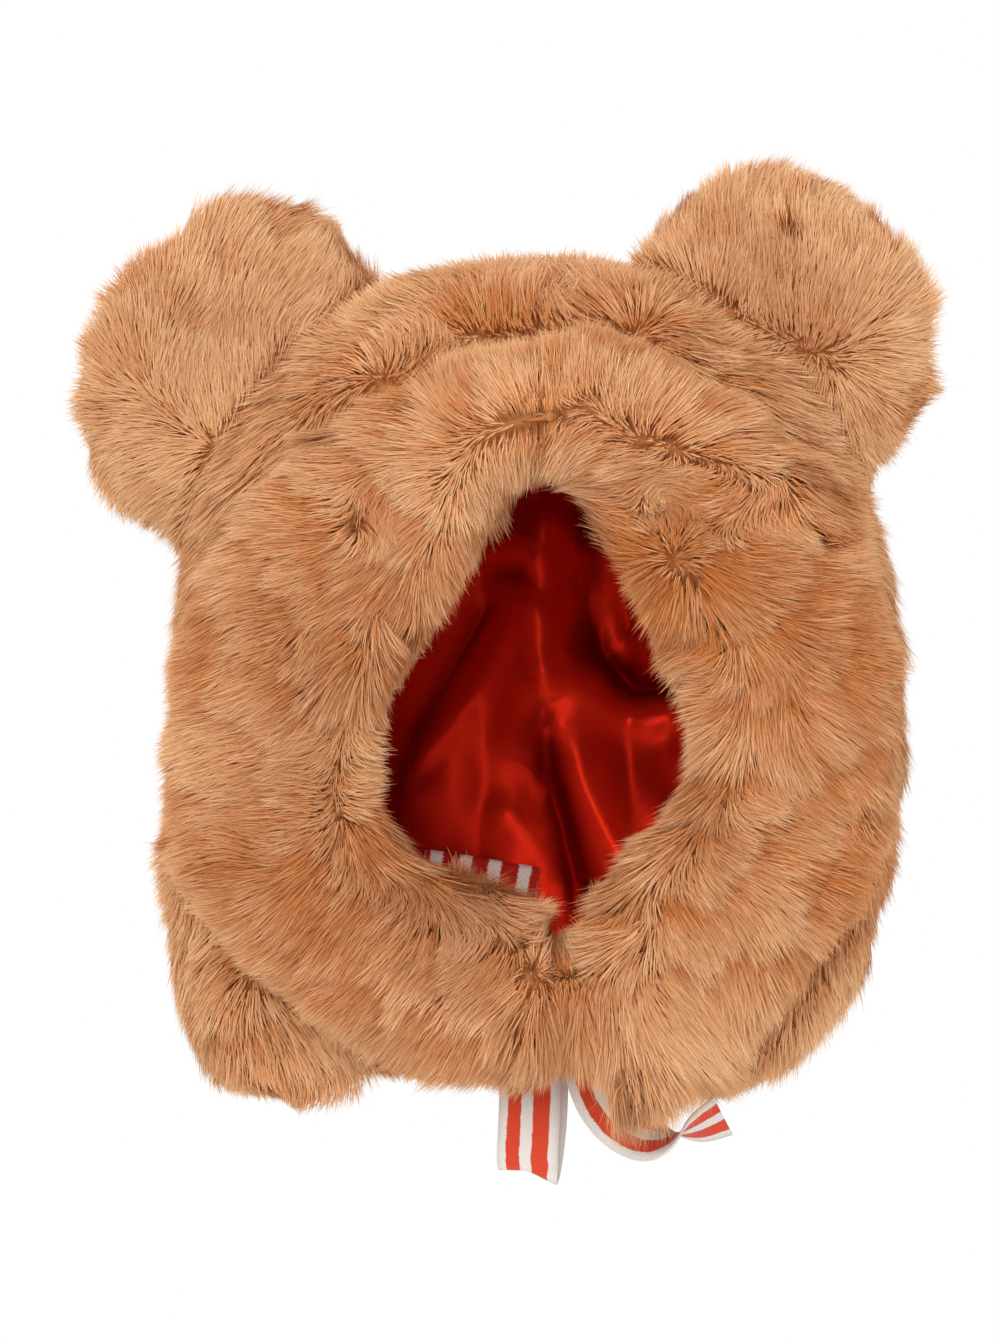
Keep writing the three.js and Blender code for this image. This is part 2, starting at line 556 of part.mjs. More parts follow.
// The ribbon piece at the nape, bent to the lining's wall.
function makePatch() {
  const lean = radians(patchPlace.lean);
  const [columns, lines] = [10, 4];
  const wall = (down, turn, inset) => hoodPoint(down, turn, liningInset(down, turn) + liningWall + inset);
  const perDegree = wall(patchPlace.down, patchPlace.turn, 0)
    .distanceTo(wall(patchPlace.down, patchPlace.turn + 1, 0));
  const face = (inset) => {
    const points = [];
    for (let line = 0; line <= lines; line += 1) {
      for (let column = 0; column <= columns; column += 1) {
        const [across, up] = [(column / columns - 0.5) * patchWidth, (line / lines - 0.5) * patchHeight];
        const drop = across * Math.sin(lean) - up * Math.cos(lean);
        const shift = across * Math.cos(lean) + up * Math.sin(lean);
        const [down, turn] = [patchPlace.down + drop / hoodHeight, patchPlace.turn - shift / perDegree];
        points.push(wall(down, turn, inset));
      }
    }
    return points;
  };
  const points = [...face(-2 * liningWall), ...face(clearance + patchThickness)];
  const row = columns + 1;
  const layer = row * (lines + 1);
  const index = [];
  for (let line = 0; line < lines; line += 1) {
    for (let column = 0; column < columns; column += 1) {
      const a = line * row + column;
      index.push(a, a + 1, a + row + 1, a, a + row + 1, a + row);
      const b = a + layer;
      index.push(b, b + row + 1, b + 1, b, b + row, b + row + 1);
    }
  }
  const wallStrip = (a, b) => index.push(a, a + layer, b + layer, a, b + layer, b);
  for (let column = 0; column < columns; column += 1) {
    wallStrip(column, column + 1);
    wallStrip(lines * row + column + 1, lines * row + column);
  }
  for (let line = 0; line < lines; line += 1) {
    wallStrip((line + 1) * row, line * row);
    wallStrip(line * row + columns, (line + 1) * row + columns);
  }
  const room = hoodForm((down, turn) => liningInset(down, turn) + liningWall + clearance, cavityColumns);
  return largestBody(solidFromPoints(points, index).intersect(room));
}

function meshOf(name, solid, centre = new THREE.Vector3()) {
  const { vertProperties, triVerts } = solid.getMesh();
  const geometry = new THREE.BufferGeometry();
  geometry.setAttribute('position', new THREE.BufferAttribute(new Float32Array(vertProperties), 3));
  geometry.setIndex(new THREE.BufferAttribute(new Uint32Array(triVerts), 1));
  geometry.translate(-centre.x, -centre.y, -centre.z);
  geometry.computeVertexNormals();
  const mesh = new THREE.Mesh(geometry, new THREE.MeshStandardMaterial({ metalness: 0, ...paint[name] }));
  mesh.name = name;
  mesh.position.copy(centre);
  return mesh;
}

const hat = new THREE.Group();
hat.add(meshOf('hood', makeHood()));
hat.add(meshOf('face_ruff', makeRuff()));
for (const [name, shape] of Object.entries(earShapes)) {
  hat.add(meshOf(name, makeEar(shape), earCentre(shape)));
}
hat.add(meshOf('lining', makeLining()));
hat.add(meshOf('neck_patch', makePatch()));
hat.add(meshOf('tie_left', makeTie(leftTieRows, tieSeams.left * ribbonWidth, leftTieDrop)));
hat.add(meshOf('tie_right', makeTie(rightTieRows, tieSeams.right * ribbonWidth, rightTieReach)));

export default hat;
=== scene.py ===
# A bonnet of deep faux fur with two round stuffed ears, a padded fur band round the face, a satin lining
# and striped ribbon ties. Metres, +Z up, the face looks along -Y.

import math

import bmesh
import bpy
import numpy as np
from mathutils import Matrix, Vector, noise
from mathutils.bvhtree import BVHTree


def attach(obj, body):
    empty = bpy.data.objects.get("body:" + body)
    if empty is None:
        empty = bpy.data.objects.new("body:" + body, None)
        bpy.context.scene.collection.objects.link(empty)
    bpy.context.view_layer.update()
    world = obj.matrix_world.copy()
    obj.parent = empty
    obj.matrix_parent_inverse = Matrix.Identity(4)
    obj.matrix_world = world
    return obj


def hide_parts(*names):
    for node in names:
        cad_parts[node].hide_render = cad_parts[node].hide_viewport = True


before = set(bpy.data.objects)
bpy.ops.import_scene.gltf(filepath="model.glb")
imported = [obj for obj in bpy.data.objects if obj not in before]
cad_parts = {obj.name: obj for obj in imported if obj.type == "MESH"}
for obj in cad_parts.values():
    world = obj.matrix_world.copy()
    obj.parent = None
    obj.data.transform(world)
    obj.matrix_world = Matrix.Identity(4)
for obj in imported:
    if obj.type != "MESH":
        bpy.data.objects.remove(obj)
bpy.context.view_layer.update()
mm = 0.001
noise.seed_set(11)


# Node trees: sums on sockets are written as plain expressions
class Wire:
    def __init__(self, tree, socket):
        self.tree, self.socket = tree, socket

    def isVector(self):
        return self.socket.type in ("VECTOR", "RGBA")

    def math(self, operation, *others):
        values = [self, *others]
        vector = any(isinstance(v, Wire) and v.isVector() for v in values)
        kind = "ShaderNodeVectorMath" if vector else "ShaderNodeMath"
        made = self.tree.nodes.new(kind)
        made.operation = operation
        for slot, value in zip(made.inputs, values):
            plug(self.tree, slot, value)
        answer = "Value" if operation in ("DOT_PRODUCT", "LENGTH", "DISTANCE") else 0
        return Wire(self.tree, made.outputs[answer])

    def __add__(self, other):
        return self.math("ADD", other)

    def __sub__(self, other):
        return self.math("SUBTRACT", other)

    def __rsub__(self, other):
        return Wire.constant(self.tree, other, self.isVector()).math("SUBTRACT", self)

    def __mul__(self, other):
        mine, its = self.isVector(), isinstance(other, Wire) and other.isVector()
        if mine == its or isinstance(other, tuple):
            return self.math("MULTIPLY", other)
        arrow, size = (self, other) if mine else (other, self)
        made = self.tree.nodes.new("ShaderNodeVectorMath")
        made.operation = "SCALE"
        plug(self.tree, made.inputs["Vector"], arrow)
        plug(self.tree, made.inputs["Scale"], size)
        return Wire(self.tree, made.outputs["Vector"])

    def __truediv__(self, other):
        return self.math("DIVIDE", other)

    def __pow__(self, other):
        return self.math("POWER", other)

    __radd__ = __add__
    __rmul__ = __mul__

    @staticmethod
    def constant(tree, value, vector):
        made = tree.nodes.new("ShaderNodeCombineXYZ" if vector else "ShaderNodeValue")
        if vector:
            for slot, part in zip(made.inputs, value):
                slot.default_value = part
        else:
            made.outputs[0].default_value = value
        return Wire(tree, made.outputs[0])


def plug(tree, slot, value):
    if isinstance(value, Wire):
        tree.links.new(value.socket, slot)
    else:
        slot.default_value = value


class Tree:
    def __init__(self, tree):
        self.tree = tree

    # One node: its type, its settings, and the values or links of its sockets, by name or by number
    def node(self, kind, settings=None, inputs=None, out=0):
        made = self.tree.nodes.new(kind)
        for name, value in (settings or {}).items():
            if name == "stops":
                ramp = made.color_ramp
                while len(ramp.elements) < len(value):
                    ramp.elements.new(0.5)
                for element, (place, colour) in zip(ramp.elements, value):
                    element.position, element.color = place, colour
            else:
                setattr(made, name, value)
        for name, value in (inputs or {}).items():
            slot = made.inputs[name]
            if not slot.enabled:
                slot = next(s for s in made.inputs if s.name == name and s.enabled)
            plug(self.tree, slot, value)
        if out is None:
            return made
        socket = made.outputs[out]
        if not socket.enabled:
            socket = next(s for s in made.outputs if s.enabled)
        return Wire(self.tree, socket)

    def mix(self, kind, factor, first, second):
        return self.node("ShaderNodeMix", {"data_type": kind}, {"Factor": factor, "A": first, "B": second})

    def attribute(self, name, kind):
        return self.node("GeometryNodeInputNamedAttribute", {"data_type": kind}, {"Name": name})


def colour(red, green, blue):
    def linear(c):
        c /= 255
        return c / 12.92 if c <= 0.04045 else ((c + 0.055) / 1.055) ** 2.4
    return (linear(red), linear(green), linear(blue), 1.0)


def newMaterial(name):
    material = bpy.data.materials.new(name)
    material.use_nodes = True
    return material, Tree(material.node_tree), material.node_tree.nodes["Principled BSDF"]


# Fur finish: dark at the roots, pale at the tips, each strand with its own tone and painted shade
furColours = {
    "deep": [(0.0, colour(150, 78, 32)), (0.4, colour(188, 106, 50)), (1.0, colour(210, 134, 76))],
    "pale": [(0.0, colour(202, 127, 72)), (0.4, colour(235, 173, 118)), (1.0, colour(248, 210, 164))],
    "under": (colour(178, 108, 60), colour(200, 132, 80)), "roughness": 0.8, "sheen": 0.15,
}


def strandMaterial():
    material, tree, shader = newMaterial("apricotPile")
    place = tree.node("ShaderNodeUVMap", {"uv_map": "OFBake"})
    split = tree.node("ShaderNodeSeparateXYZ", {}, {"Vector": place}, out=None)
    tone, along = Wire(tree.tree, split.outputs["X"]), Wire(tree.tree, split.outputs["Y"])
    deep, pale = (tree.node("ShaderNodeValToRGB", {"stops": furColours[key]}, {"Fac": along})
                  for key in ("deep", "pale"))
    # The two ramps mixed by the strand's tone and painted shade
    plug(tree.tree, shader.inputs["Base Color"], tree.mix("RGBA", tone, deep, pale))
    shader.inputs["Roughness"].default_value = furColours["roughness"]
    shader.inputs["Specular IOR Level"].default_value = 0.15
    shader.inputs["Sheen Weight"].default_value = furColours["sheen"]
    shader.inputs["Sheen Roughness"].default_value = 0.5
    shader.inputs["Sheen Tint"].default_value = colour(255, 196, 146)
    return material


def backingMaterial():
    material, tree, shader = newMaterial("apricotBacking")
    place = tree.node("ShaderNodeTexCoord", out="Object")
    broad = tree.node("ShaderNodeTexNoise", {}, {"Vector": place, "Scale": 70.0, "Detail": 3.0})
    fine = tree.node("ShaderNodeTexNoise", {}, {"Vector": place, "Scale": 900.0, "Detail": 2.0})
    stops = [(0.3, furColours["under"][0]), (0.7, furColours["under"][1])]
    plug(tree.tree, shader.inputs["Base Color"],
         tree.node("ShaderNodeValToRGB", {"stops": stops}, {"Fac": broad * 0.6 + fine * 0.4}))
    bump = tree.node("ShaderNodeBump", {}, {"Height": fine, "Strength": 0.6, "Distance": 0.001})
    plug(tree.tree, shader.inputs["Normal"], bump)
    shader.inputs["Roughness"].default_value = 0.95
    shader.inputs["Specular IOR Level"].default_value = 0.1
    return material


pileFinish, backingFinish = strandMaterial(), backingMaterial()


def meshPoints(mesh):
    points = np.empty(len(mesh.vertices) * 3)
    normals = np.empty(len(mesh.vertices) * 3)
    mesh.vertices.foreach_get("co", points)
    mesh.vertex_normals.foreach_get("vector", normals)
    return points.reshape(-1, 3), normals.reshape(-1, 3)


def setPoints(mesh, points):
    mesh.vertices.foreach_set("co", points.ravel())
    mesh.update()


def newObject(name, mesh):
    made = bpy.data.objects.new(name, mesh)
    bpy.context.scene.collection.objects.link(made)
    return made


def meshFrom(name, points, faces):
    mesh = bpy.data.meshes.new(name)
    mesh.from_pydata([tuple(p) for p in points], [], [tuple(f) for f in faces])
    mesh.update()
    return mesh


# The result of an object's modifiers as a plain mesh without them
def settle(made):
    graph = bpy.context.evaluated_depsgraph_get()
    mesh = bpy.data.meshes.new_from_object(made.evaluated_get(graph), depsgraph=graph)
    made.modifiers.clear()
    made.data = mesh
    mesh.name = made.name
    return mesh


def merged(mesh):
    work = bmesh.new()
    work.from_mesh(mesh)
    bmesh.ops.remove_doubles(work, verts=work.verts, dist=1e-6)
    copy = bpy.data.meshes.new(mesh.name + "Merged")
    work.to_mesh(copy)
    work.free()
    return copy


# Each point drawn to the middle of its neighbours, round by round, and let out again where keep asks it
def smoothed(mesh, points, rounds, factor=0.5, keep=False):
    edges = np.empty(len(mesh.edges) * 2, dtype=np.int64)
    mesh.edges.foreach_get("vertices", edges)
    first, second = edges.reshape(-1, 2).T
    count = np.bincount(first, minlength=len(points)) + np.bincount(second, minlength=len(points))
    count = np.maximum(count, 1)
    for i in range(rounds * 2 if keep else rounds):
        total = np.stack([
            np.bincount(first, column[second], len(points)) + np.bincount(second, column[first], len(points))
            for column in points.T], axis=1)
        share = -1.04 * factor if keep and i % 2 else factor
        points = points + share * np.where(total.any(axis=1)[:, None], total / count[:, None] - points, 0)
    return points


def unit(vectors):
    return vectors / np.maximum(np.linalg.norm(vectors, axis=1, keepdims=True), 1e-9)


def ease(low, high, values):
    share = np.clip((values - low) / (high - low), 0, 1)
    return share * share * (3 - 2 * share)


def drift(points, size, seed):
    return np.array([noise.noise_vector(Vector(p) / size + Vector((seed, -seed, 2 * seed))) for p in points])


def treeOf(mesh):
    return BVHTree.FromPolygons([v.co for v in mesh.vertices], [p.vertices for p in mesh.polygons])


solids = {name: merged(node.data) for name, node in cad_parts.items()}
walls = {name: treeOf(mesh) for name, mesh in solids.items()}

# Fur backings: the solids without their locks, drawn in by most of the pile's depth where pile grows
backingSettings = {
    "hood": {"voxel": 0.0045, "rounds": 16, "inset": 0.0072, "neighbours": ("face_ruff", "ear_left", "ear_right",
                                                                           "lining")},
    "face_ruff": {"voxel": 0.0042, "rounds": 18, "inset": 0.0098, "neighbours": ("hood", "lining")},
    "ear_left": {"voxel": 0.004, "rounds": 10, "inset": 0.0072, "touch": 0.003, "neighbours": ("hood",)},
    "ear_right": {"voxel": 0.004, "rounds": 10, "inset": 0.0072, "touch": 0.003, "neighbours": ("hood",)},
}
headCentre = np.array([-0.004, 0.02, -0.14])
cameraSettings = {"place": (-0.0144, -2.0, -0.1339), "lens": 148.8, "sensor": 36.0}
# Where the hood's front edge shows beside the band: centre and half sizes of its furry webs, in millimetres
hoodWebs = [
    {"centre": (-86, -64.5, -262), "half": (27, 5.5, 28)}, {"centre": (-105, -63, -236), "half": (13, 4.5, 22)},
    {"centre": (-58, -62.5, -41), "half": (22, 4, 12)},
    {"centre": (-32, -62.5, -27), "half": (24, 4, 11)}, {"centre": (0, -62.5, -21), "half": (26, 4, 11)},
    {"centre": (32, -62.5, -26), "half": (24, 4, 11)}, {"centre": (58, -62.5, -40), "half": (22, 4, 12)},
]


def makeBacking(node, name, settings):
    work = bmesh.new()
    work.from_mesh(solids[node])
    for web in hoodWebs if node == "hood" else []:
        added = bmesh.ops.create_icosphere(work, subdivisions=4, radius=1.0)["verts"]
        for vertex in added:
            vertex.co = [(c + h * v) * mm for c, h, v in zip(web["centre"], web["half"], vertex.co)]
    whole = bpy.data.meshes.new(name)
    work.to_mesh(whole)
    work.free()
    made = newObject(name, whole)
    remesh = made.modifiers.new("even", "REMESH")
    remesh.mode, remesh.voxel_size = "VOXEL", settings["voxel"]
    mesh = settle(made)
    points, _ = meshPoints(mesh)
    setPoints(mesh, smoothed(mesh, points, settings["rounds"], keep=True))
    points, normals = meshPoints(mesh)
    own = treeOf(mesh)
    free, touching = np.ones(len(points)), np.zeros(len(points))
    for i, (point, normal) in enumerate(zip(points, normals)):
        start, way = Vector(point - normal * 0.001), Vector(normal)
        for other in settings["neighbours"]:
            if walls[other].ray_cast(start, way, settings.get("touch", 0.0055))[0] is not None:
                free[i] = 0
                touching[i] = max(touching[i], other == "lining")
    if node == "hood":
        free *= (np.einsum("ij,ij->i", normals, points - headCentre) > 0) | (normals[:, 2] < -0.5)
    free = smoothed(mesh, free[:, None], 2)[:, 0]
    room = np.ones(len(points))
    for i, (point, normal) in enumerate(zip(points, normals)):
        wall = own.ray_cast(Vector(point - normal * 0.0005), Vector(-normal), 0.03)[3]
        room[i] = 1 if wall is None else np.clip((wall - 0.0045) / settings["inset"], 0, 1)
    room = smoothed(mesh, room[:, None], 3)[:, 0]
    touching = smoothed(mesh, touching[:, None], 1)[:, 0]
    sunk = settings["inset"] + 0.005 * grooves(points, normals, node)
    points -= normals * (sunk * free * room + 0.0016 * touching)[:, None]
    setPoints(mesh, smoothed(mesh, points, 2))
    mesh.materials.clear()
    mesh.materials.append(backingFinish)
    mesh.polygons.foreach_set("use_smooth", [True] * len(mesh.polygons))
    print("backing", name, len(mesh.polygons), "faces")
    return made, free


# Places where the pile parts or gathers, in the front view in millimetres: a line from a to b, its reach,
# and how strongly the pile turns away from it (more than nothing) or to it (less)
swirls = [
    {"a": (49, -92), "b": (53, -97), "reach": 17, "turn": 1.3},
    {"a": (-22, -14), "b": (34, -17), "reach": 9, "turn": 1.0},
    {"a": (34, -17), "b": (66, -36), "reach": 9, "turn": 0.7},
    {"a": (-54, -31), "b": (-38, -38), "reach": 15, "turn": 1.0},
    {"a": (-78, -38), "b": (-66, -34), "reach": 12, "turn": 0.7},
    {"a": (86, -112), "b": (92, -160), "reach": 10, "turn": 0.6},
    {"a": (64, -170), "b": (60, -196), "reach": 12, "turn": 0.6},
    {"a": (-104, -196), "b": (-70, -222), "reach": 10, "turn": 0.5},
    {"a": (-58, -190), "b": (-44, -206), "reach": 13, "turn": 0.7},
    {"a": (12, -236), "b": (15, -278), "reach": 9, "turn": 0.9},
    {"a": (116, -31), "b": (134, -45), "reach": 9, "turn": 0.6},
]


troughs = [
    [(93.6, -98.3), (104.4, -126), (110.2, -160.9), (106.2, -190.8), (99.4, -216), (86.4, -244.8)],
    [(43.9, -124.2), (68, -120.2), (93.6, -103.7)],
    [(53.3, -168.1), (81, -172.1), (108.4, -169.9)],
    [(-70.6, -88.2), (-61.2, -97.6), (-42.8, -127.1)],
    [(-114.5, -103), (-109, -136)],
    [(-77, -224.3), (-47.2, -236.9), (-20.2, -244.1), (4.7, -229.3)],
    [(27, -221.8), (44.3, -212)],
]


# Points as the camera sees them, on the plane through the origin: across and up
def frontView(points):
    eye = np.array(cameraSettings["place"])
    share = -eye[1] / (points[:, 1] - eye[1])
    return eye[[0, 2]] + (points[:, [0, 2]] - eye[[0, 2]]) * share[:, None]


def farFrom(x, z, line):
    line = np.array(line, float)
    best = np.full(len(x), 1e9)
    for a, b in zip(line[:-1], line[1:]):
        way = b - a
        part = np.clip(((x - a[0]) * way[0] + (z - a[1]) * way[1]) / (way @ way), 0, 1)
        best = np.minimum(best, np.hypot(x - a[0] - part * way[0], z - a[1] - part * way[1]))
    return best


# How deep the pile's troughs are at each point, 0 to 1: the ones seen in front, and others between its lobes
def grooves(points, normals, node):
    lobes = np.clip(1 - np.abs(drift(points, 0.055, 21.7)[:, 0]) / 0.09, 0, 1) * 0.45
    if node.startswith("ear"):
        return lobes * 0
    x, z = frontView(points).T / mm
    front = ease(0.0, 0.5, -normals[:, 1])
    seen = sum(np.exp(-(farFrom(x, z, line) / 5.5) ** 2) for line in troughs)
    return np.clip(lobes + seen * front, 0, 1)


def awayFromLine(points, a, b):
    a, b = np.array(a, float) * mm, np.array(b, float) * mm
    flat = frontView(points)
    part = np.clip(((flat - a) @ (b - a)) / ((b - a) @ (b - a)), 0, 1)
    off = flat - (a + part[:, None] * (b - a))
    far = np.linalg.norm(off, axis=1)
    off = off / np.maximum(far, 1e-9)[:, None]
    return np.stack([off[:, 0], np.zeros(len(off)), off[:, 1]], axis=1), far


def hoodLie(points, normals):
    lie = np.tile([0.0, 0.55, -0.8], (len(points), 1))
    lie[:, 2] += 0.5 * ease(-0.06, 0.01, points[:, 2]) + 0.15 * ease(-0.262, -0.285, points[:, 2])
    return lie


def ruffLie(points, normals):
    away, _ = awayFromLine(points, (0, -75), (8, -205))
    facing = np.einsum("ij,ij->i", normals, away)
    over = ease(-0.12, -0.05, points[:, 2])
    outward = ease(-0.75 + 0.5 * over, -0.2 + 0.6 * over, facing)[:, None]
    lie = away * (1.8 * outward - 0.8) + np.array([0, 0.3, 0]) * (1 - outward)
    lie[:, 0] -= 0.25
    lie[:, 1] += 0.6 * ease(0.5, 0.95, facing)
    lie[:, 2] -= 0.55 - 0.3 * over
    return lie


def earLie(points, normals):
    away, _ = awayFromLine(points, *earBases[int(points[:, 0].mean() > 0)])
    return away + np.array([0, 0.35, 0.1])


earBases = [((-142, -32), (-108, -62)), ((62, -2), (104, -22))]
lies = {"hood": hoodLie, "face_ruff": ruffLie, "ear_left": earLie, "ear_right": earLie}


# Where the pile is shorter or longer than elsewhere: middles and half sizes in the front view, in millimetres
trims = [
    {"middle": (-138, -148), "half": (14, 36), "length": 0.68}, {"middle": (130, -208), "half": (13, 50), "length": 0.72},
    {"middle": (-131, -260), "half": (16, 28), "length": 0.72}, {"middle": (-40, -281), "half": (22, 12), "length": 1.4},
    {"middle": (-100, -287), "half": (30, 8), "length": 0.75}, {"middle": (-121, 20), "half": (12, 12), "length": 1.45},
    {"middle": (-80, 37), "half": (9, 8), "length": 0.7},
]


# What the pile needs to know at each point of a backing
def combBacking(made, free, node):
    mesh = made.data
    points, normals = meshPoints(mesh)
    outward = unit(smoothed(mesh, normals, 3))
    lie = unit(lies[node](points, outward))
    front = ease(0.1, 0.6, -outward[:, 1]) if node != "hood" else ease(-0.1, 0.5, -outward[:, 1])
    depth = np.zeros(len(points))
    for swirl in swirls:
        away, far = awayFromLine(points, swirl["a"], swirl["b"])
        near = np.exp(-((far / (swirl["reach"] * mm)) ** 2)) * front
        lie = lie + away * (1.1 * swirl["turn"] * near)[:, None]
        depth = np.maximum(depth, near * (1 if swirl["turn"] > 0 else 0.3))
    lie = lie + 0.9 * drift(points, 0.045, 3.1) + 0.45 * drift(points, 0.018, 7.7)
    lie = lie - outward * np.einsum("ij,ij->i", lie, outward)[:, None]
    comb = unit(smoothed(mesh, unit(lie), 2))
    flow = 0.3 + 0.7 * ease(0.3, 0.95, np.linalg.norm(smoothed(mesh, unit(lie), 6), axis=1))
    # The pile's tone varies at random, with painted shade at the partings (depth) and along the troughs between the
    # lobes
    tone = 0.5 + 0.28 * drift(points, 0.05, 11.3)[:, 0] - 0.2 * depth - 0.22 * grooves(points, outward, node)
    ear = node.startswith("ear")
    pile = 1 + (0.08 if ear else 0.22) * drift(points, 0.03, 5.9)[:, 1]
    across, up = frontView(points).T / mm
    for trim in trims:
        (x, z), (wide, high) = trim["middle"], trim["half"]
        pile *= 1 + (trim["length"] - 1) * np.exp(-((across - x) / wide) ** 2 - ((up - z) / high) ** 2)
    x, z = points[:, 0], points[:, 2]
    if node == "hood":
        tone += 0.15 * ease(-0.22, -0.25, z)
        pile *= 1 - 0.45 * ease(-0.262, -0.285, z)
    if ear:
        tone += 0.3
    if node == "face_ruff":
        tone -= 0.06
        pile *= 1 + 0.6 * ease(-0.235, -0.265, z) * ease(0.002, 0.012, x) * (1 - ease(0.078, 0.095, x))
        lip = np.hypot(x + 0.027, z + 0.207)
        pile *= 1 + 0.55 * np.exp(-(lip / 0.022) ** 2)
    for name, kind, values in (("comb", "FLOAT_VECTOR", comb), ("outward", "FLOAT_VECTOR", outward),
                               ("coat", "FLOAT", ease(0.0, 0.5, free)), ("tone", "FLOAT", tone),
                               ("pile", "FLOAT", pile), ("flow", "FLOAT", flow)):
        kept = mesh.attributes.new(name, kind, "POINT")
        kept.data.foreach_set("vector" if kind == "FLOAT_VECTOR" else "value", np.asarray(values, float).ravel())


# One strand of pile, bent and placed by the tree: t runs along it and s across it
strandPoints = [(0.0, 0.0), (-0.5, 0.45), (0.5, 0.45), (0.0, 1.0)]
strandMesh = meshFrom("strand", [(s * mm, 0, t * mm) for s, t in strandPoints], [(0, 2, 1), (1, 2, 3)])
for name, column in (("s", 0), ("t", 1)):
    kept = strandMesh.attributes.new(name, "FLOAT", "POINT")
    kept.data.foreach_set("value", [p[column] for p in strandPoints])
strand = newObject("strand", strandMesh)

pileInputs = {
    "Density": ("NodeSocketFloat", 5e5), "Side": ("NodeSocketFloat", 0.0),
    "Lock Spacing": ("NodeSocketFloat", 0.022), "Tuft Spacing": ("NodeSocketFloat", 0.005),
    "Length": ("NodeSocketFloat", 0.017), "Lean": ("NodeSocketFloat", 0.85), "Lift": ("NodeSocketFloat", 0.5),
    "Lock Gather": ("NodeSocketFloat", 0.2), "Tuft Gather": ("NodeSocketFloat", 0.17),
    "Width": ("NodeSocketFloat", 0.0008), "Seed": ("NodeSocketInt", 1),
    "Strand": ("NodeSocketObject", None), "Finish": ("NodeSocketMaterial", None),
}


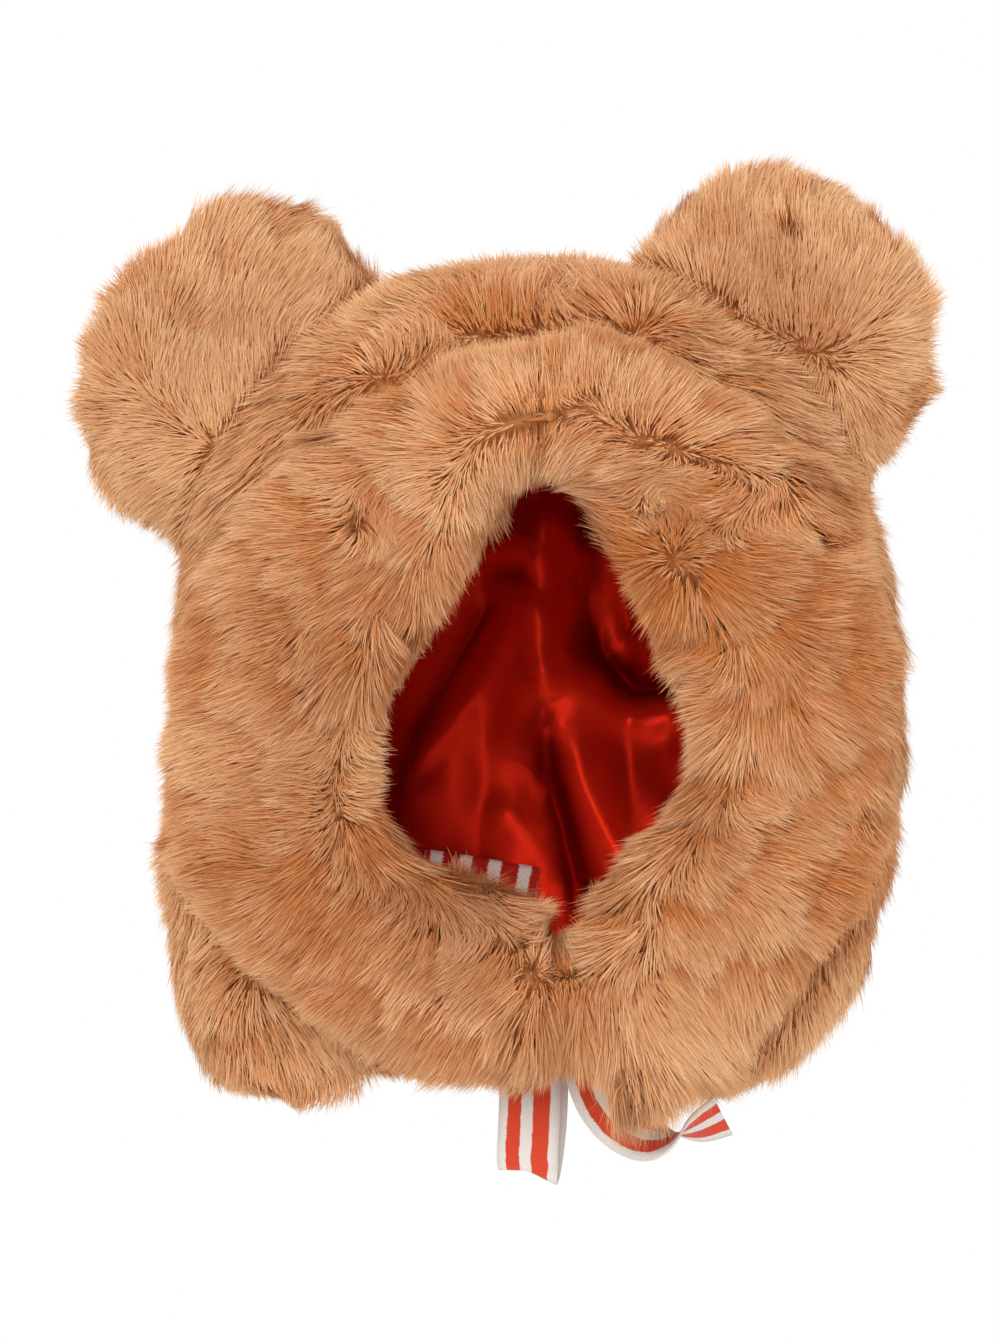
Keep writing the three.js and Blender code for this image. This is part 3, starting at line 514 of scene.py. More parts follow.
def pileTree():
    group = bpy.data.node_groups.new("pile", "GeometryNodeTree")
    tree = Tree(group)
    group.interface.new_socket("Geometry", in_out="INPUT", socket_type="NodeSocketGeometry")
    group.interface.new_socket("Geometry", in_out="OUTPUT", socket_type="NodeSocketGeometry")
    for name, (kind, start) in pileInputs.items():
        socket = group.interface.new_socket(name, in_out="INPUT", socket_type=kind)
        if start is not None:
            socket.default_value = start
    given = group.nodes.new("NodeGroupInput")
    values = {socket.name: Wire(group, socket) for socket in given.outputs if socket.name}
    place = tree.node("GeometryNodeInputPosition")
    comb, outward = tree.attribute("comb", "FLOAT_VECTOR"), tree.attribute("outward", "FLOAT_VECTOR")
    coat, pile, tone, flow = (tree.attribute(name, "FLOAT") for name in ("coat", "pile", "tone", "flow"))

    def store(geometry, name, kind, value, domain="POINT"):
        return tree.node("GeometryNodeStoreNamedAttribute", {"data_type": kind, "domain": domain},
                         {"Geometry": geometry, "Name": name, "Value": value})

    def scatter(spacing, seed):
        return tree.node("GeometryNodeDistributePointsOnFaces", {"distribute_method": "POISSON"},
                         {"Mesh": values["Geometry"], "Distance Min": spacing, "Density Max": 1e6, "Seed": seed})

    def random(low, high, seed, vector=False):
        kind = "FLOAT_VECTOR" if vector else "FLOAT"
        return tree.node("FunctionNodeRandomValue", {"data_type": kind}, {"Min": low, "Max": high, "Seed": seed})

    def nearest(points):
        at = tree.node("GeometryNodeSampleNearest", {"domain": "POINT"}, {"Geometry": points})
        return lambda value, kind: tree.node("GeometryNodeSampleIndex", {"data_type": kind},
                                             {"Geometry": points, "Value": value, "Index": at})

    def reach(turn, size, step=0.0):
        way = (comb + turn).math("NORMALIZE") * (values["Lean"] * flow) + outward * (values["Lift"] * (step + 1.0))
        return place + way * (values["Length"] * pile * size)

    # How far down the lie of the pile a point is from the middle of its lock or tuft, in half spacings
    def stepFrom(middle, spacing):
        step = (place - middle).math("DOT_PRODUCT", comb) * 2.0 / values[spacing]
        return step.math("MAXIMUM", -1.0).math("MINIMUM", 1.0)

    # Locks, and tufts that lean to their lock
    locks = scatter(values["Lock Spacing"], values["Seed"] + 1)
    swing = random((-0.45, -0.45, -0.45), (0.45, 0.45, 0.45), values["Seed"] + 2, True)
    locks = store(locks, "tip", "FLOAT_VECTOR", reach(swing, random(0.8, 1.25, values["Seed"] + 3)))
    locks = store(locks, "chance", "FLOAT", random(0.0, 1.0, values["Seed"] + 4))
    tip, chance = tree.attribute("tip", "FLOAT_VECTOR"), tree.attribute("chance", "FLOAT")
    root = tree.attribute("root", "FLOAT_VECTOR")
    tufts = scatter(values["Tuft Spacing"], values["Seed"] + 5)
    ofLock = nearest(locks)
    swing = random((-0.35, -0.35, -0.35), (0.35, 0.35, 0.35), values["Seed"] + 6, True)
    lockTip, lockRoot = ofLock(tip, "FLOAT_VECTOR"), ofLock(place, "FLOAT_VECTOR")
    own = reach(swing, random(0.82, 1.15, values["Seed"] + 7), stepFrom(lockRoot, "Lock Spacing") * 0.28)
    lockChance = ofLock(chance, "FLOAT")
    tufts = store(tufts, "tip", "FLOAT_VECTOR", tree.mix("VECTOR", values["Lock Gather"], own, lockTip))
    tufts = store(tufts, "middle", "FLOAT_VECTOR", lockRoot)
    tufts = store(tufts, "chance", "FLOAT", lockChance * 0.5 + random(0.0, 0.5, values["Seed"] + 8))

    # Strands, gathered to their tuft
    wanted = place.math("DOT_PRODUCT", (1.0, 0.0, 0.0)) * values["Side"]
    chosen = tree.node("FunctionNodeCompare", {"data_type": "FLOAT", "operation": "GREATER_EQUAL"},
                       {"A": wanted, "B": 0.0})
    strands = tree.node("GeometryNodeDistributePointsOnFaces", {"distribute_method": "RANDOM"},
                        {"Mesh": values["Geometry"], "Selection": chosen, "Density": coat * values["Density"],
                         "Seed": values["Seed"] + 9})
    ofTuft = nearest(tufts)
    tuftTip, tuftRoot = ofTuft(tip, "FLOAT_VECTOR"), ofTuft(place, "FLOAT_VECTOR")
    middle = ofTuft(tree.attribute("middle", "FLOAT_VECTOR"), "FLOAT_VECTOR")
    swing = random((-0.24, -0.24, -0.24), (0.24, 0.24, 0.24), values["Seed"] + 10, True)
    ofLocks = stepFrom(middle, "Lock Spacing")
    own = reach(swing, random(0.8, 1.05, values["Seed"] + 11), ofLocks * 0.28)
    gathered = tuftTip + (place - tuftRoot) * 0.35
    aim = tree.mix("VECTOR", values["Tuft Gather"], own, gathered)
    knee = place + outward * (values["Length"] * pile * 0.42) + (aim - place) * 0.12
    along = (aim - place).math("NORMALIZE")
    flat = outward.math("CROSS_PRODUCT", along).math("NORMALIZE")
    lean = random(-0.7, 0.7, values["Seed"] + 12)
    across = (flat + along.math("CROSS_PRODUCT", flat) * lean).math("NORMALIZE")
    round_ = (place - middle) / values["Lock Spacing"] * 0.35 + (place - tuftRoot) / values["Tuft Spacing"] * 0.12
    shade = (outward + round_ + across * random(-0.15, 0.15, values["Seed"] + 13)).math("NORMALIZE")
    mixTone = tone + ofTuft(chance, "FLOAT") * 0.36 - 0.18 + random(-0.3, 0.3, values["Seed"] + 14)
    # Painted shade and light by lock and tuft: strands rooted upstream, under the tips of the lock above, are darker,
    # those downstream lighter
    mixTone = mixTone + ofLocks * 0.2 + stepFrom(tuftRoot, "Tuft Spacing") * 0.08
    for name, kind, value in (("root", "FLOAT_VECTOR", place), ("knee", "FLOAT_VECTOR", knee),
                              ("aim", "FLOAT_VECTOR", aim), ("across", "FLOAT_VECTOR", across),
                              ("shade", "FLOAT_VECTOR", shade), ("mixTone", "FLOAT", mixTone)):
        strands = store(strands, name, kind, value)
    model = tree.node("GeometryNodeObjectInfo", {}, {"Object": values["Strand"]}, out="Geometry")
    grown = tree.node("GeometryNodeInstanceOnPoints", {}, {"Points": strands, "Instance": model})
    grown = tree.node("GeometryNodeRealizeInstances", {}, {"Geometry": grown})
    s, t = tree.attribute("s", "FLOAT"), tree.attribute("t", "FLOAT")
    knee, aim = tree.attribute("knee", "FLOAT_VECTOR"), tree.attribute("aim", "FLOAT_VECTOR")
    across, shade = tree.attribute("across", "FLOAT_VECTOR"), tree.attribute("shade", "FLOAT_VECTOR")
    bend = root * ((1 - t) * (1 - t)) + knee * ((1 - t) * t * 2) + aim * (t * t)
    grown = tree.node("GeometryNodeSetPosition", {},
                      {"Geometry": grown, "Position": bend + across * (s * values["Width"])})
    map_ = tree.node("ShaderNodeCombineXYZ", {}, {"X": tree.attribute("mixTone", "FLOAT") + s * 0.01, "Y": t})
    map_ = map_.math("MAXIMUM", (0.001, 0.001, 0.0)).math("MINIMUM", (0.999, 0.999, 0.0))
    grown = store(grown, "OFBake", "FLOAT2", map_, "CORNER")
    grown = tree.node("GeometryNodeSetMeshNormal", {"mode": "FREE", "domain": "POINT"},
                      {"Mesh": grown, "Custom Normal": shade})
    grown = tree.node("GeometryNodeSetMaterial", {}, {"Geometry": grown, "Material": values["Finish"]})
    final = group.nodes.new("NodeGroupOutput")
    group.links.new(grown.socket, final.inputs[0])
    return group


pileGroup = pileTree()
spent = ("s", "t", "root", "knee", "aim", "across", "shade", "mixTone", "comb", "outward", "coat", "tone", "pile",
         "flow")


def growPile(backing, name, **own):
    made = newObject(name, backing.data.copy())
    modifier = made.modifiers.new("pile", "NODES")
    modifier.node_group = pileGroup
    identifiers = {item.name: item.identifier for item in pileGroup.interface.items_tree
                   if item.item_type == "SOCKET" and item.in_out == "INPUT"}
    for key, value in {"Strand": strand, "Finish": pileFinish, **own}.items():
        modifier[identifiers[key]] = value
    mesh = settle(made)
    for key in spent:
        if key in mesh.attributes:
            mesh.attributes.remove(mesh.attributes[key])
    print("pile", name, sum(len(p.vertices) - 2 for p in mesh.polygons), "triangles")
    return made


thin = 1.0
earComb = {"Length": 0.0145, "Lean": 0.8, "Lift": 0.5, "Lock Gather": 0.06, "Tuft Gather": 0.1}
furPieces = {
    "hood": {"backing": "hoodBacking", "halves": {"hoodPileLeft": -1.0, "hoodPileRight": 1.0},
             "Density": 12.0e5 * thin, "Width": 0.00055, "Lift": 0.44, "Seed": 100},
    "face_ruff": {"backing": "bandBacking", "halves": {"bandPileLeft": -1.0, "bandPileRight": 1.0},
                  "Density": 25.2e5 * thin, "Width": 0.00045, "Seed": 200},
    "ear_left": {"backing": "leftEarBacking", "halves": {"leftEarPile": 0.0}, "Density": 19.0e5 * thin,
                 "Width": 0.00048, "Seed": 300, **earComb},
    "ear_right": {"backing": "rightEarBacking", "halves": {"rightEarPile": 0.0}, "Density": 19.0e5 * thin,
                  "Width": 0.00048, "Seed": 400, **earComb},
}
furObjects = {}
for node, piece in furPieces.items():
    backing, free = makeBacking(node, piece["backing"], backingSettings[node])
    combBacking(backing, free, node)
    made = [backing]
    settings = {key: value for key, value in piece.items() if key in pileInputs}
    for name, side in piece["halves"].items():
        made.append(growPile(backing, name, Side=side, **settings))
    for key in ("comb", "outward", "coat", "tone", "pile", "flow"):
        backing.data.attributes.remove(backing.data.attributes[key])
    for one in made:
        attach(one, "root")
    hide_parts(node)
    if node != "hood":
        0.8 if node == "face_ruff" else 0.85
    furObjects[node] = made
bpy.data.objects.remove(strand)

# Satin lining: rings of points found from inside the solid lining, with the loose cloth's folds as the
# photograph shows them through the face. Folds run along lines in the front view, in millimetres; rise is
# towards the face, and left and right are how far the fold reaches on each side of its line.
liningSettings = {"back": 150, "front": 9, "low": -270, "high": -3, "frontLow": -250, "wall": 1.1,
                  "slack": 8}
satinFolds = [
    {"line": [(3, -70), (2, -96), (1, -121), (2, -144)], "rise": 9, "left": 16, "right": 7},
    {"line": [(2, -144), (10, -163), (15, -176), (27, -198), (33, -215)], "rise": 10, "left": 8, "right": 18},
    {"line": [(16, -108), (22, -128), (34, -141), (46, -141), (56, -136)], "rise": -9, "left": 9, "right": 6},
    {"line": [(13, -136), (24, -147), (36, -151), (52, -147), (66, -140)], "rise": 7, "left": 6, "right": 9},
    {"line": [(24, -82), (29, -100), (33, -119)], "rise": -6, "left": 5, "right": 4},
    {"line": [(33, -119), (38, -104), (44, -90)], "rise": -5, "left": 4, "right": 5},
    {"line": [(14, -76), (20, -92), (21, -110)], "rise": -7, "left": 5, "right": 6},
    {"line": [(-14, -105), (-29, -129), (-44, -155), (-50, -175)], "rise": -6, "left": 6, "right": 6},
    {"line": [(-9, -108), (-20, -137), (-36, -160), (-50, -172)], "rise": 5, "left": 8, "right": 12},
    {"line": [(-24, -150), (-38, -166), (-46, -180)], "rise": -4, "left": 10, "right": 8},
    {"line": [(-13, -106), (-4, -112), (1, -116)], "rise": 4, "left": 3, "right": 5},
    {"line": [(-16, -92), (-8, -90), (-1, -94)], "rise": 5, "left": 4, "right": 4},
    {"line": [(-14, -98), (-6, -100), (0, -104)], "rise": -4, "left": 3, "right": 3},
    {"line": [(6, -168), (10, -190), (12, -215)], "rise": -7, "left": 9, "right": 7},
    {"line": [(-20, -178), (-8, -190), (2, -200)], "rise": 4, "left": 12, "right": 12},
    {"line": [(40, -158), (50, -172), (56, -190)], "rise": 4, "left": 10, "right": 10},
]


# Painted light and shade on the cloth: along lines in the front view, in millimetres, it is painted lighter (more than
# nothing) or darker (less) than its slope lights it, as far as each reaches
satinPaintedLight = [
    {"line": [(-62, -148), (-50, -186), (-28, -206)], "reach": 15, "light": -0.32},
    {"line": [(0, -60), (0, -78)], "reach": 13, "light": -0.3},
    {"line": [(10, -126), (34, -134), (52, -128)], "reach": 7, "light": -0.35},
    {"line": [(12, -148), (38, -153), (60, -149)], "reach": 6, "light": 0.4},
    {"line": [(6, -86), (8, -110), (5, -138)], "reach": 4, "light": 0.4},
    {"line": [(-10, -112), (-20, -140), (-24, -158)], "reach": 12, "light": 0.3},
    {"line": [(30, -92), (38, -112)], "reach": 7, "light": 0.3},
    {"line": [(1, -152), (8, -186), (14, -215)], "reach": 6, "light": -0.45},
    {"line": [(24, -192), (32, -214)], "reach": 4, "light": 0.4},
    {"line": [(42, -168), (54, -186)], "reach": 11, "light": -0.22},
    {"line": [(-16, -90), (-8, -88), (0, -93)], "reach": 3, "light": 0.35},
]


def foldRise(x, z, fold):
    line = np.array(fold["line"], float)
    best, signed = np.full(len(x), 1e9), np.zeros(len(x))
    for a, b in zip(line[:-1], line[1:]):
        way = b - a
        part = np.clip(((x - a[0]) * way[0] + (z - a[1]) * way[1]) / (way @ way), 0, 1)
        offX, offZ = x - a[0] - part * way[0], z - a[1] - part * way[1]
        far = np.hypot(offX, offZ)
        turn = np.sign(offX * way[1] - offZ * way[0])
        nearer = far < best
        best, signed = np.where(nearer, far, best), np.where(nearer, -turn, signed)
    ends = np.minimum(np.hypot(x - line[0][0], z - line[0][1]), np.hypot(x - line[-1][0], z - line[-1][1]))
    width = np.where(signed > 0, fold["right"], fold["left"])
    return 1.5 * fold["rise"] * np.exp(-((best / width) ** 1.3)) * (0.55 + 0.45 * ease(0, 12, ends))


def hit(tree, start, way, reach=0.4):
    found = tree.ray_cast(Vector(start), Vector(way), reach)[0]
    return None if found is None else np.array(found)


def liningRing(level):
    tree, z = walls["lining"], level * mm
    left, right = hit(tree, (-0.01, 0.01, z), (-1, 0, 0)), hit(tree, (-0.01, 0.01, z), (1, 0, 0))
    fore = hit(tree, (-0.002, 0.01, z), (0, -1, 0))
    front = -0.0578 + 0.014 * float(ease(-62, -30, np.array([level]))[0])
    if fore is not None and level > -40:
        front = max(front, fore[1])
    middle = np.array([(left[0] + right[0]) / 2, front + 0.007, z])
    back = []
    share = np.linspace(1, -1, liningSettings["back"])
    for angle in np.radians(90 + 93 * (0.55 * share + 0.45 * share ** 3)):
        found = hit(tree, middle, (math.cos(angle), math.sin(angle), 0))
        back.append(found if found is not None else back[-1])
    centre = 0.002 + 0.009 * float(ease(-120, -225, np.array([level]))[0])
    edges = []
    for side, corner in ((-1, back[0]), (1, back[-1])):
        edge = centre
        if -218 < level < -58:
            found = hit(tree, (centre, -0.059, z), (side, 0, 0))
            if found is not None:
                edge = found[0]
        edges.append((edge, corner))
    steps = np.linspace(0, 1, liningSettings["front"], endpoint=False)
    strips = [[np.array([edge + (corner[0] - edge) * part, front, z]) for part in steps] for edge, corner in edges]
    return strips[0] + back + strips[1][::-1]


def makeLining():
    low, high = liningSettings["low"], liningSettings["high"]
    top = np.sin(np.linspace(0, math.pi / 2, 18))
    levels = np.concatenate([np.linspace(low, -222, 13)[:-1], np.linspace(-222, -66, 66)[:-1],
                             -66 + (high + 66) * (0.6 * top + 0.4 * np.linspace(0, 1, 18))])
    count = len(levels)
    rings = [liningRing(level) for level in levels]
    width, edge = len(rings[0]), liningSettings["front"]
    points = np.array(rings).reshape(-1, 3)
    faces = []
    for row in range(count - 1):
        for column in range(width - 1):
            strip = column < edge or column >= width - 1 - edge
            if strip and levels[row] < liningSettings["frontLow"]:
                continue
            a = row * width + column
            faces.append((a, a + width, a + width + 1, a + 1))
    points = np.vstack([points, points[-width:].mean(axis=0) + [0, 0, 0.0015]])
    last = (count - 1) * width
    faces += [(last + i, len(points) - 1, last + i + 1) for i in range(width - 1)]
    mesh = meshFrom("lining", points, faces)
    points = smoothed(mesh, points, 3)
    x, z = frontView(points).T / mm
    deep = ease(-0.035, 0.03, points[:, 1])
    rise = sum(foldRise(x, z, fold) for fold in satinFolds)
    rise += drift(points * [1, 1, 0.6], 0.03, 2.2)[:, 0] * 2.2 + drift(points * [1, 1, 0.5], 0.012, 4.4)[:, 0] * 0.7
    points[:, 1] -= np.maximum(rise + liningSettings["slack"], 0.3) * mm * deep
    points[:, 1] = np.maximum(points[:, 1], -0.0583)
    setPoints(mesh, smoothed(mesh, points, 1))
    # Painted shade in the folds' valleys and painted light on their ridges, and then the painted strokes of light and
    # shade
    crease = 0.5 + (rise - smoothed(mesh, rise[:, None], 40)[:, 0]) / 12
    # Painted strokes of light and shade from the table of painted light
    crease += sum(paintedStroke["light"] * np.exp(-(farFrom(x, z, paintedStroke["line"]) / paintedStroke["reach"]) ** 2) for paintedStroke in satinPaintedLight) * deep
    crease = np.clip(crease, 0, 1)
    mesh.attributes.new("crease", "FLOAT", "POINT").data.foreach_set("value", crease)
    work = bmesh.new()
    work.from_mesh(mesh)
    loose = [v for v in work.verts if not v.link_faces]
    bmesh.ops.delete(work, geom=loose, context="VERTS")
    bmesh.ops.remove_doubles(work, verts=work.verts, dist=2e-4)
    work.to_mesh(mesh)
    work.free()
    made = newObject("satinLining", mesh)
    wall = made.modifiers.new("cloth", "SOLIDIFY")
    wall.thickness, wall.offset = liningSettings["wall"] * mm, -1
    flat = sum(face.area for face in mesh.polygons)
    mesh = settle(made)
    mesh.polygons.foreach_set("use_smooth", [True] * len(mesh.polygons))
    print("lining", len(mesh.polygons), "faces, cloth", round(flat, 4), "square metres")
    return made, flat


# The satin's red in painted shade and in painted light, the two ends of its painted fold light and shade
satinColours = {"deep": colour(116, 3, 2), "paintedLitRed": colour(238, 48, 26), "metallic": 0.45, "roughness": 0.37}


def satinMaterial():
    material, tree, shader = newMaterial("redSatin")
    place = tree.node("ShaderNodeTexCoord", out="Object")
    cloud = tree.node("ShaderNodeTexNoise", {}, {"Vector": place, "Scale": 22.0, "Detail": 2.0})
    # Colour from the painted fold light and shade, with a random cloud
    crease = tree.node("ShaderNodeAttribute", {"attribute_name": "crease"}, out="Fac")
    stops = [(0.1, satinColours["deep"]), (0.8, satinColours["paintedLitRed"])]
    plug(tree.tree, shader.inputs["Base Color"],
         tree.node("ShaderNodeValToRGB", {"stops": stops}, {"Fac": crease + cloud * 0.3 - 0.1}))
    weave = tree.node("ShaderNodeTexWave", {"bands_direction": "Z"}, {"Vector": place, "Scale": 900.0,
                                                                     "Distortion": 1.0})
    crinkle = tree.node("ShaderNodeTexNoise", {}, {"Vector": place, "Scale": 130.0, "Detail": 3.0})
    height = weave * 0.05 + crinkle * 0.6
    plug(tree.tree, shader.inputs["Normal"],
         tree.node("ShaderNodeBump", {}, {"Height": height, "Strength": 0.25, "Distance": 0.002}))
    plug(tree.tree, shader.inputs["Roughness"], cloud * 0.12 + (satinColours["roughness"] - 0.06))
    shader.inputs["Metallic"].default_value = satinColours["metallic"]
    shader.inputs["Anisotropic"].default_value = 0.4
    shader.inputs["Specular Tint"].default_value = colour(255, 60, 30)
    return material


lining, liningArea = makeLining()
lining.data.materials.clear()
lining.data.materials.append(satinMaterial())
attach(lining, "root")
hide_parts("lining")

# Striped ribbon: shares of the width from one selvage, a little wavy as the weaver's edges are
ribbonColours = {"red": colour(222, 72, 44), "white": colour(236, 228, 220), "deepRed": colour(190, 26, 16)}


# A flat striped cloth whose map has its width in x (0 to 1) and its length in y, in ribbon widths
def ribbonMaterial(name, stripes, wave, red):
    material, tree, shader = newMaterial(name)
    place = tree.node("ShaderNodeUVMap", {"uv_map": "ribbon"})
    split = tree.node("ShaderNodeSeparateXYZ", {}, {"Vector": place}, out=None)
    across, along = Wire(tree.tree, split.outputs["X"]), Wire(tree.tree, split.outputs["Y"])
    drawn = tree.node("ShaderNodeCombineXYZ", {}, {"X": across * 2.5, "Y": along * 5.0})
    sway = tree.node("ShaderNodeTexNoise", {}, {"Vector": drawn, "Scale": 1.0, "Detail": 1.0})
    fuzz = tree.node("ShaderNodeTexNoise", {}, {"Vector": place, "Scale": 60.0, "Detail": 1.0})
    at = across + (sway - 0.5) * wave + (fuzz - 0.5) * 0.035
    stops = []
    for start, end in stripes:
        stops += [(start, (0, 0, 0, 1)), (start + 0.012, (1, 1, 1, 1)), (end, (1, 1, 1, 1)),
                  (end + 0.012, (0, 0, 0, 1))]
    stripe = tree.node("ShaderNodeValToRGB", {"stops": stops}, {"Fac": at})
    stripe = tree.node("ShaderNodeSeparateXYZ", {}, {"Vector": stripe}, out="X")
    shade = tree.mix("RGBA", stripe, ribbonColours["white"], ribbonColours[red])
    threads = tree.node("ShaderNodeCombineXYZ", {}, {"X": across * 34.0, "Y": along * 34.0})
    warp = tree.node("ShaderNodeTexChecker", {}, {"Vector": threads, "Scale": 1.0, "Color1": (1, 1, 1, 1),
                                                  "Color2": (0.8, 0.8, 0.8, 1)})
    shade = shade * tree.mix("RGBA", 0.35 + fuzz * 0.3, (1, 1, 1, 1), warp)
    plug(tree.tree, shader.inputs["Base Color"], shade)
    knit = tree.node("ShaderNodeSeparateXYZ", {}, {"Vector": warp}, out="X")
    plug(tree.tree, shader.inputs["Normal"],
         tree.node("ShaderNodeBump", {}, {"Height": knit + fuzz * 0.5, "Strength": 0.35, "Distance": 0.0004}))
    shader.inputs["Roughness"].default_value = 0.85
    shader.inputs["Specular IOR Level"].default_value = 0.2
    shader.inputs["Sheen Weight"].default_value = 0.2
    return material


lengthwise = ribbonMaterial("striped ribbon", [(0.14, 0.36), (0.55, 0.83)], 0.05, "red")
crosswise = ribbonMaterial("striped patch", [(0.0, 0.055), (0.16, 0.305), (0.41, 0.555), (0.66, 0.805),
                                             (0.91, 1.0)], 0.02, "deepRed")


def curveThrough(rows, steps):
    rows = np.array(rows, float)
    path = []
    for i in range(len(rows) - 1):
        a, b, c, d = rows[max(i - 1, 0)], rows[i], rows[i + 1], rows[min(i + 2, len(rows) - 1)]
        for part in np.linspace(0, 1, steps, endpoint=False):
            path.append(0.5 * (2 * b + (c - a) * part + (2 * a - 5 * b + 4 * c - d) * part ** 2
                               + (3 * b - a - 3 * c + d) * part ** 3))
    return np.array(path + [rows[-1]])


def mapped(mesh, name, places):
    layer = mesh.uv_layers.new(name=name)
    corners = np.empty(len(mesh.loops), dtype=np.int64)
    mesh.loops.foreach_get("vertex_index", corners)
    layer.data.foreach_set("uv", np.asarray(places, float)[corners].ravel())


# A strip of cloth through rows of edges, and its length along the middle
def strip(name, lefts, rights, columns, thickness, finish, bulge=0.0):
    parts = np.linspace(0, 1, columns)
    length = np.cumsum([0, *np.linalg.norm(np.diff((lefts + rights) / 2, axis=0), axis=1)])
    width = np.linalg.norm(rights[0] - lefts[0])
    points, places = [], []
    for i, (left, right) in enumerate(zip(lefts, rights)):
        ahead = (lefts + rights)[min(i + 1, len(lefts) - 1)] - (lefts + rights)[max(i - 1, 0)]
        face = np.cross(ahead, right - left)
        face /= np.linalg.norm(face)
        for part in parts:
            points.append(left + (right - left) * part + face * bulge * math.sin(math.pi * part))
            places.append((part, length[i] / width))
    faces = [(r * columns + c, r * columns + c + 1, (r + 1) * columns + c + 1, (r + 1) * columns + c)
             for r in range(len(lefts) - 1) for c in range(columns - 1)]
    mesh = meshFrom(name, points, faces)
    mapped(mesh, "ribbon", places)
    made = newObject(name, mesh)
    wall = made.modifiers.new("cloth", "SOLIDIFY")
    wall.thickness, wall.offset = thickness, 0
    mesh = settle(made)
    mesh.materials.clear()
    mesh.materials.append(finish)
    mesh.polygons.foreach_set("use_smooth", [True] * len(mesh.polygons))
    return made, float(length[-1])


# Ties, row by row from the seam: x, y, z in millimetres, then the heading of the width in the front view
# and how far it turns out of that view, in degrees
ribbonSettings = {"width": 21.5, "wall": 0.9, "columns": 9, "steps": 6}
tieRows = {
    "tie_left": [(0.5, 0.0, 11, 0, 0), (0.5, 0.0, 2.8, 0, 0), (0.5, 0, -9.4, -2, -3), (0, -0.5, -21.2, -8, -6),
                 (-0.5, 0.5, -32, -15, -6), (0, 2.4, -37.4, -19, 0), (0.9, 4.7, -36.6, -19, 8),
                 (2.3, 6.4, -29.1, -13, 14), (3.3, 7.0, -17.9, -6, 12), (3.7, 6.6, -4.7, 0, 8),
                 (3.7, 5.6, 7.5, 0, 4)],
    "tie_right": [(0, 0, 17.2, 10, 0), (0, 0, 4, 25, 0), (3.3, 0, -6.6, 38, 0), (9.2, 0, -14.5, 52, 2),
                  (16.5, 1.3, -19.1, 68, 20), (23.8, 2.6, -20.5, 82, 62), (30.4, 3.3, -19.8, 92, 100),
                  (37, 3.3, -17.8, 98, 125), (44.9, 3.3, -13.9, 104, 138)],
}
tieScales = {"tie_left": 41 / 47, "tie_right": 1.0}
seams = {"tie_left": (-4.4, -59.4, -275.3), "tie_right": (18.7, -59.4, -275.3)}
for node, rows in tieRows.items():
    path = curveThrough(rows, ribbonSettings["steps"])
    centres = (path[:, :3] * tieScales[node] + seams[node]) * mm
    across, yaw = np.radians(path[:, 3]), np.radians(path[:, 4])
    ways = np.stack([np.cos(across) * np.cos(yaw), np.sin(yaw), np.sin(across) * np.cos(yaw)], axis=1)
    ahead = unit(np.gradient(centres, axis=0))
    ways = unit(ways - ahead * np.einsum("ij,ij->i", ways, ahead)[:, None]) * ribbonSettings["width"] / 2 * mm
    tie, length = strip("leftTie" if node == "tie_left" else "rightTie", centres - ways, centres + ways,
                        ribbonSettings["columns"], ribbonSettings["wall"] * mm, lengthwise)
    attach(tie, "root")
    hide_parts(node)
    "folded" if node == "tie_left" else "hung"
    print("tie", node, round(length, 4))

# Ribbon piece at the nape, laid on the satin: its middle, size and lean, in millimetres and degrees
patchSettings = {"middle": (-22.5, -214), "width": 45, "height": 24, "lean": -9, "off": 0.9, "wall": 0.8}
satin = treeOf(lining.data)
lean = math.radians(patchSettings["lean"])
rows, columns = 9, 40
edges = []
for up in np.linspace(-0.5, 0.5, rows):
    row = []
    for part in np.linspace(-0.5, 0.5, columns):
        right, rise = part * patchSettings["width"], up * patchSettings["height"]
        x = patchSettings["middle"][0] + right * math.cos(lean) - rise * math.sin(lean)
        z = patchSettings["middle"][1] + right * math.sin(lean) + rise * math.cos(lean)
        found = hit(satin, (x * mm, -0.02, z * mm), (0, 1, 0))
        row.append(found - [0, patchSettings["off"] * mm, 0])
    edges.append(row)
patchPoints = np.array(edges).reshape(-1, 3)
patchFaces = [(r * columns + c, r * columns + c + 1, (r + 1) * columns + c + 1, (r + 1) * columns + c)
              for r in range(rows - 1) for c in range(columns - 1)]
patchMesh = meshFrom("napeRibbon", patchPoints, patchFaces)
patchPoints = smoothed(patchMesh, patchPoints, 4)
setPoints(patchMesh, patchPoints)
mapped(patchMesh, "ribbon", [(c / (columns - 1), r / (rows - 1) * 0.55) for r in range(rows) for c in range(columns)])
patch = newObject("napeRibbon", patchMesh)
wall = patch.modifiers.new("cloth", "SOLIDIFY")
wall.thickness, wall.offset = patchSettings["wall"] * mm, 1
patchMesh = settle(patch)
patchMesh.materials.append(crosswise)
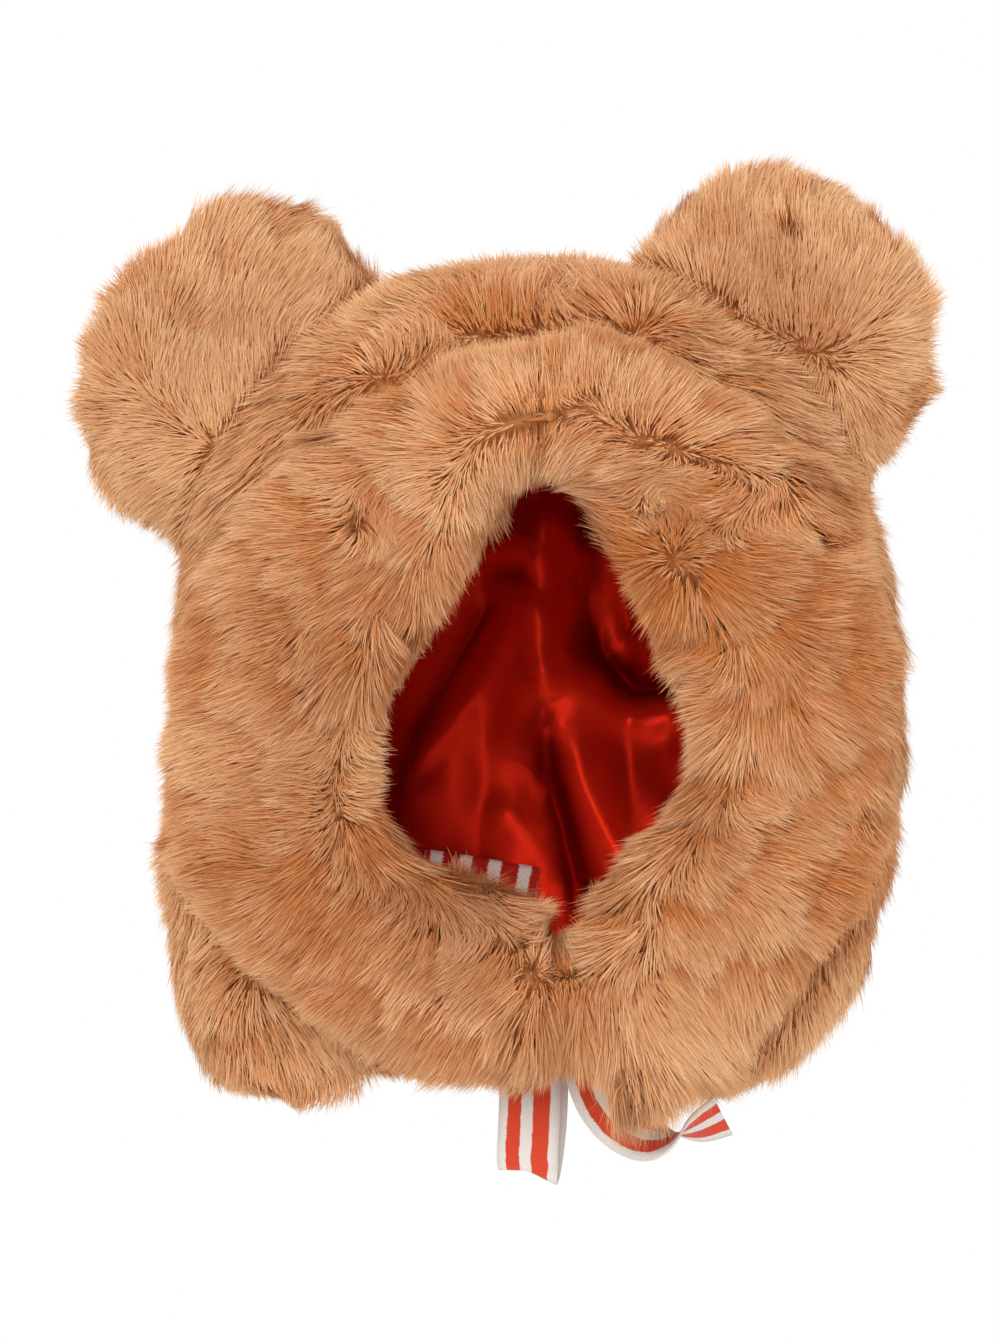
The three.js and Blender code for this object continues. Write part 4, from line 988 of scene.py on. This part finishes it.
patchMesh.polygons.foreach_set("use_smooth", [True] * len(patchMesh.polygons))
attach(patch, "root")
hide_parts("neck_patch")
print("nape ribbon done")

# Camera, light and floor
camera = bpy.data.objects.new("camera", bpy.data.cameras.new("camera"))
bpy.context.scene.collection.objects.link(camera)
camera.location = cameraSettings["place"]
camera.rotation_euler = (math.pi / 2, 0, 0)
camera.data.lens, camera.data.sensor_width = cameraSettings["lens"], cameraSettings["sensor"]
camera.data.sensor_fit = "AUTO"
bpy.context.scene.camera = camera

lampSettings = [
    {"place": (-0.9, -1.9, 1.1), "size": 1.4, "power": 21.0},
    {"place": (-0.3, -2.3, 0.3), "size": 0.5, "power": 11.0},
    {"place": (1.3, -1.6, 0.3), "size": 1.6, "power": 7.0},
    {"place": (0.2, 1.6, 1.2), "size": 1.4, "power": 12.0},
]
for i, lamp in enumerate(lampSettings):
    light = bpy.data.lights.new(f"softLamp{i}", "AREA")
    light.size, light.energy = lamp["size"], lamp["power"]
    holder = bpy.data.objects.new(light.name, light)
    bpy.context.scene.collection.objects.link(holder)
    holder.location = lamp["place"]
    aim = Vector((0, 0, -0.14)) - Vector(lamp["place"])
    holder.rotation_euler = aim.to_track_quat("-Z", "Y").to_euler()

world = bpy.data.worlds.new("studio")
bpy.context.scene.world = world
world.use_nodes = True
sky = Tree(world.node_tree)
background = world.node_tree.nodes["Background"]
seen = sky.node("ShaderNodeLightPath", out="Is Camera Ray")
plug(sky.tree, background.inputs["Strength"], 0.62 + seen * 0.38)
background.inputs["Color"].default_value = (1, 1, 1, 1)
bpy.context.scene.view_settings.view_transform = "Standard"

floorMaterial, _, floorShader = newMaterial("paleFloor")
floorShader.inputs["Base Color"].default_value = (0.9, 0.9, 0.9, 1)
floorShader.inputs["Roughness"].default_value = 0.8
floor = newObject("floor", meshFrom("floor", [(-1.6, -1.6, -0.6), (1.6, -1.6, -0.6), (1.6, 1.6, -0.6),
                                               (-1.6, 1.6, -0.6)], [(0, 1, 2, 3)]))
floor.data.materials.append(floorMaterial)
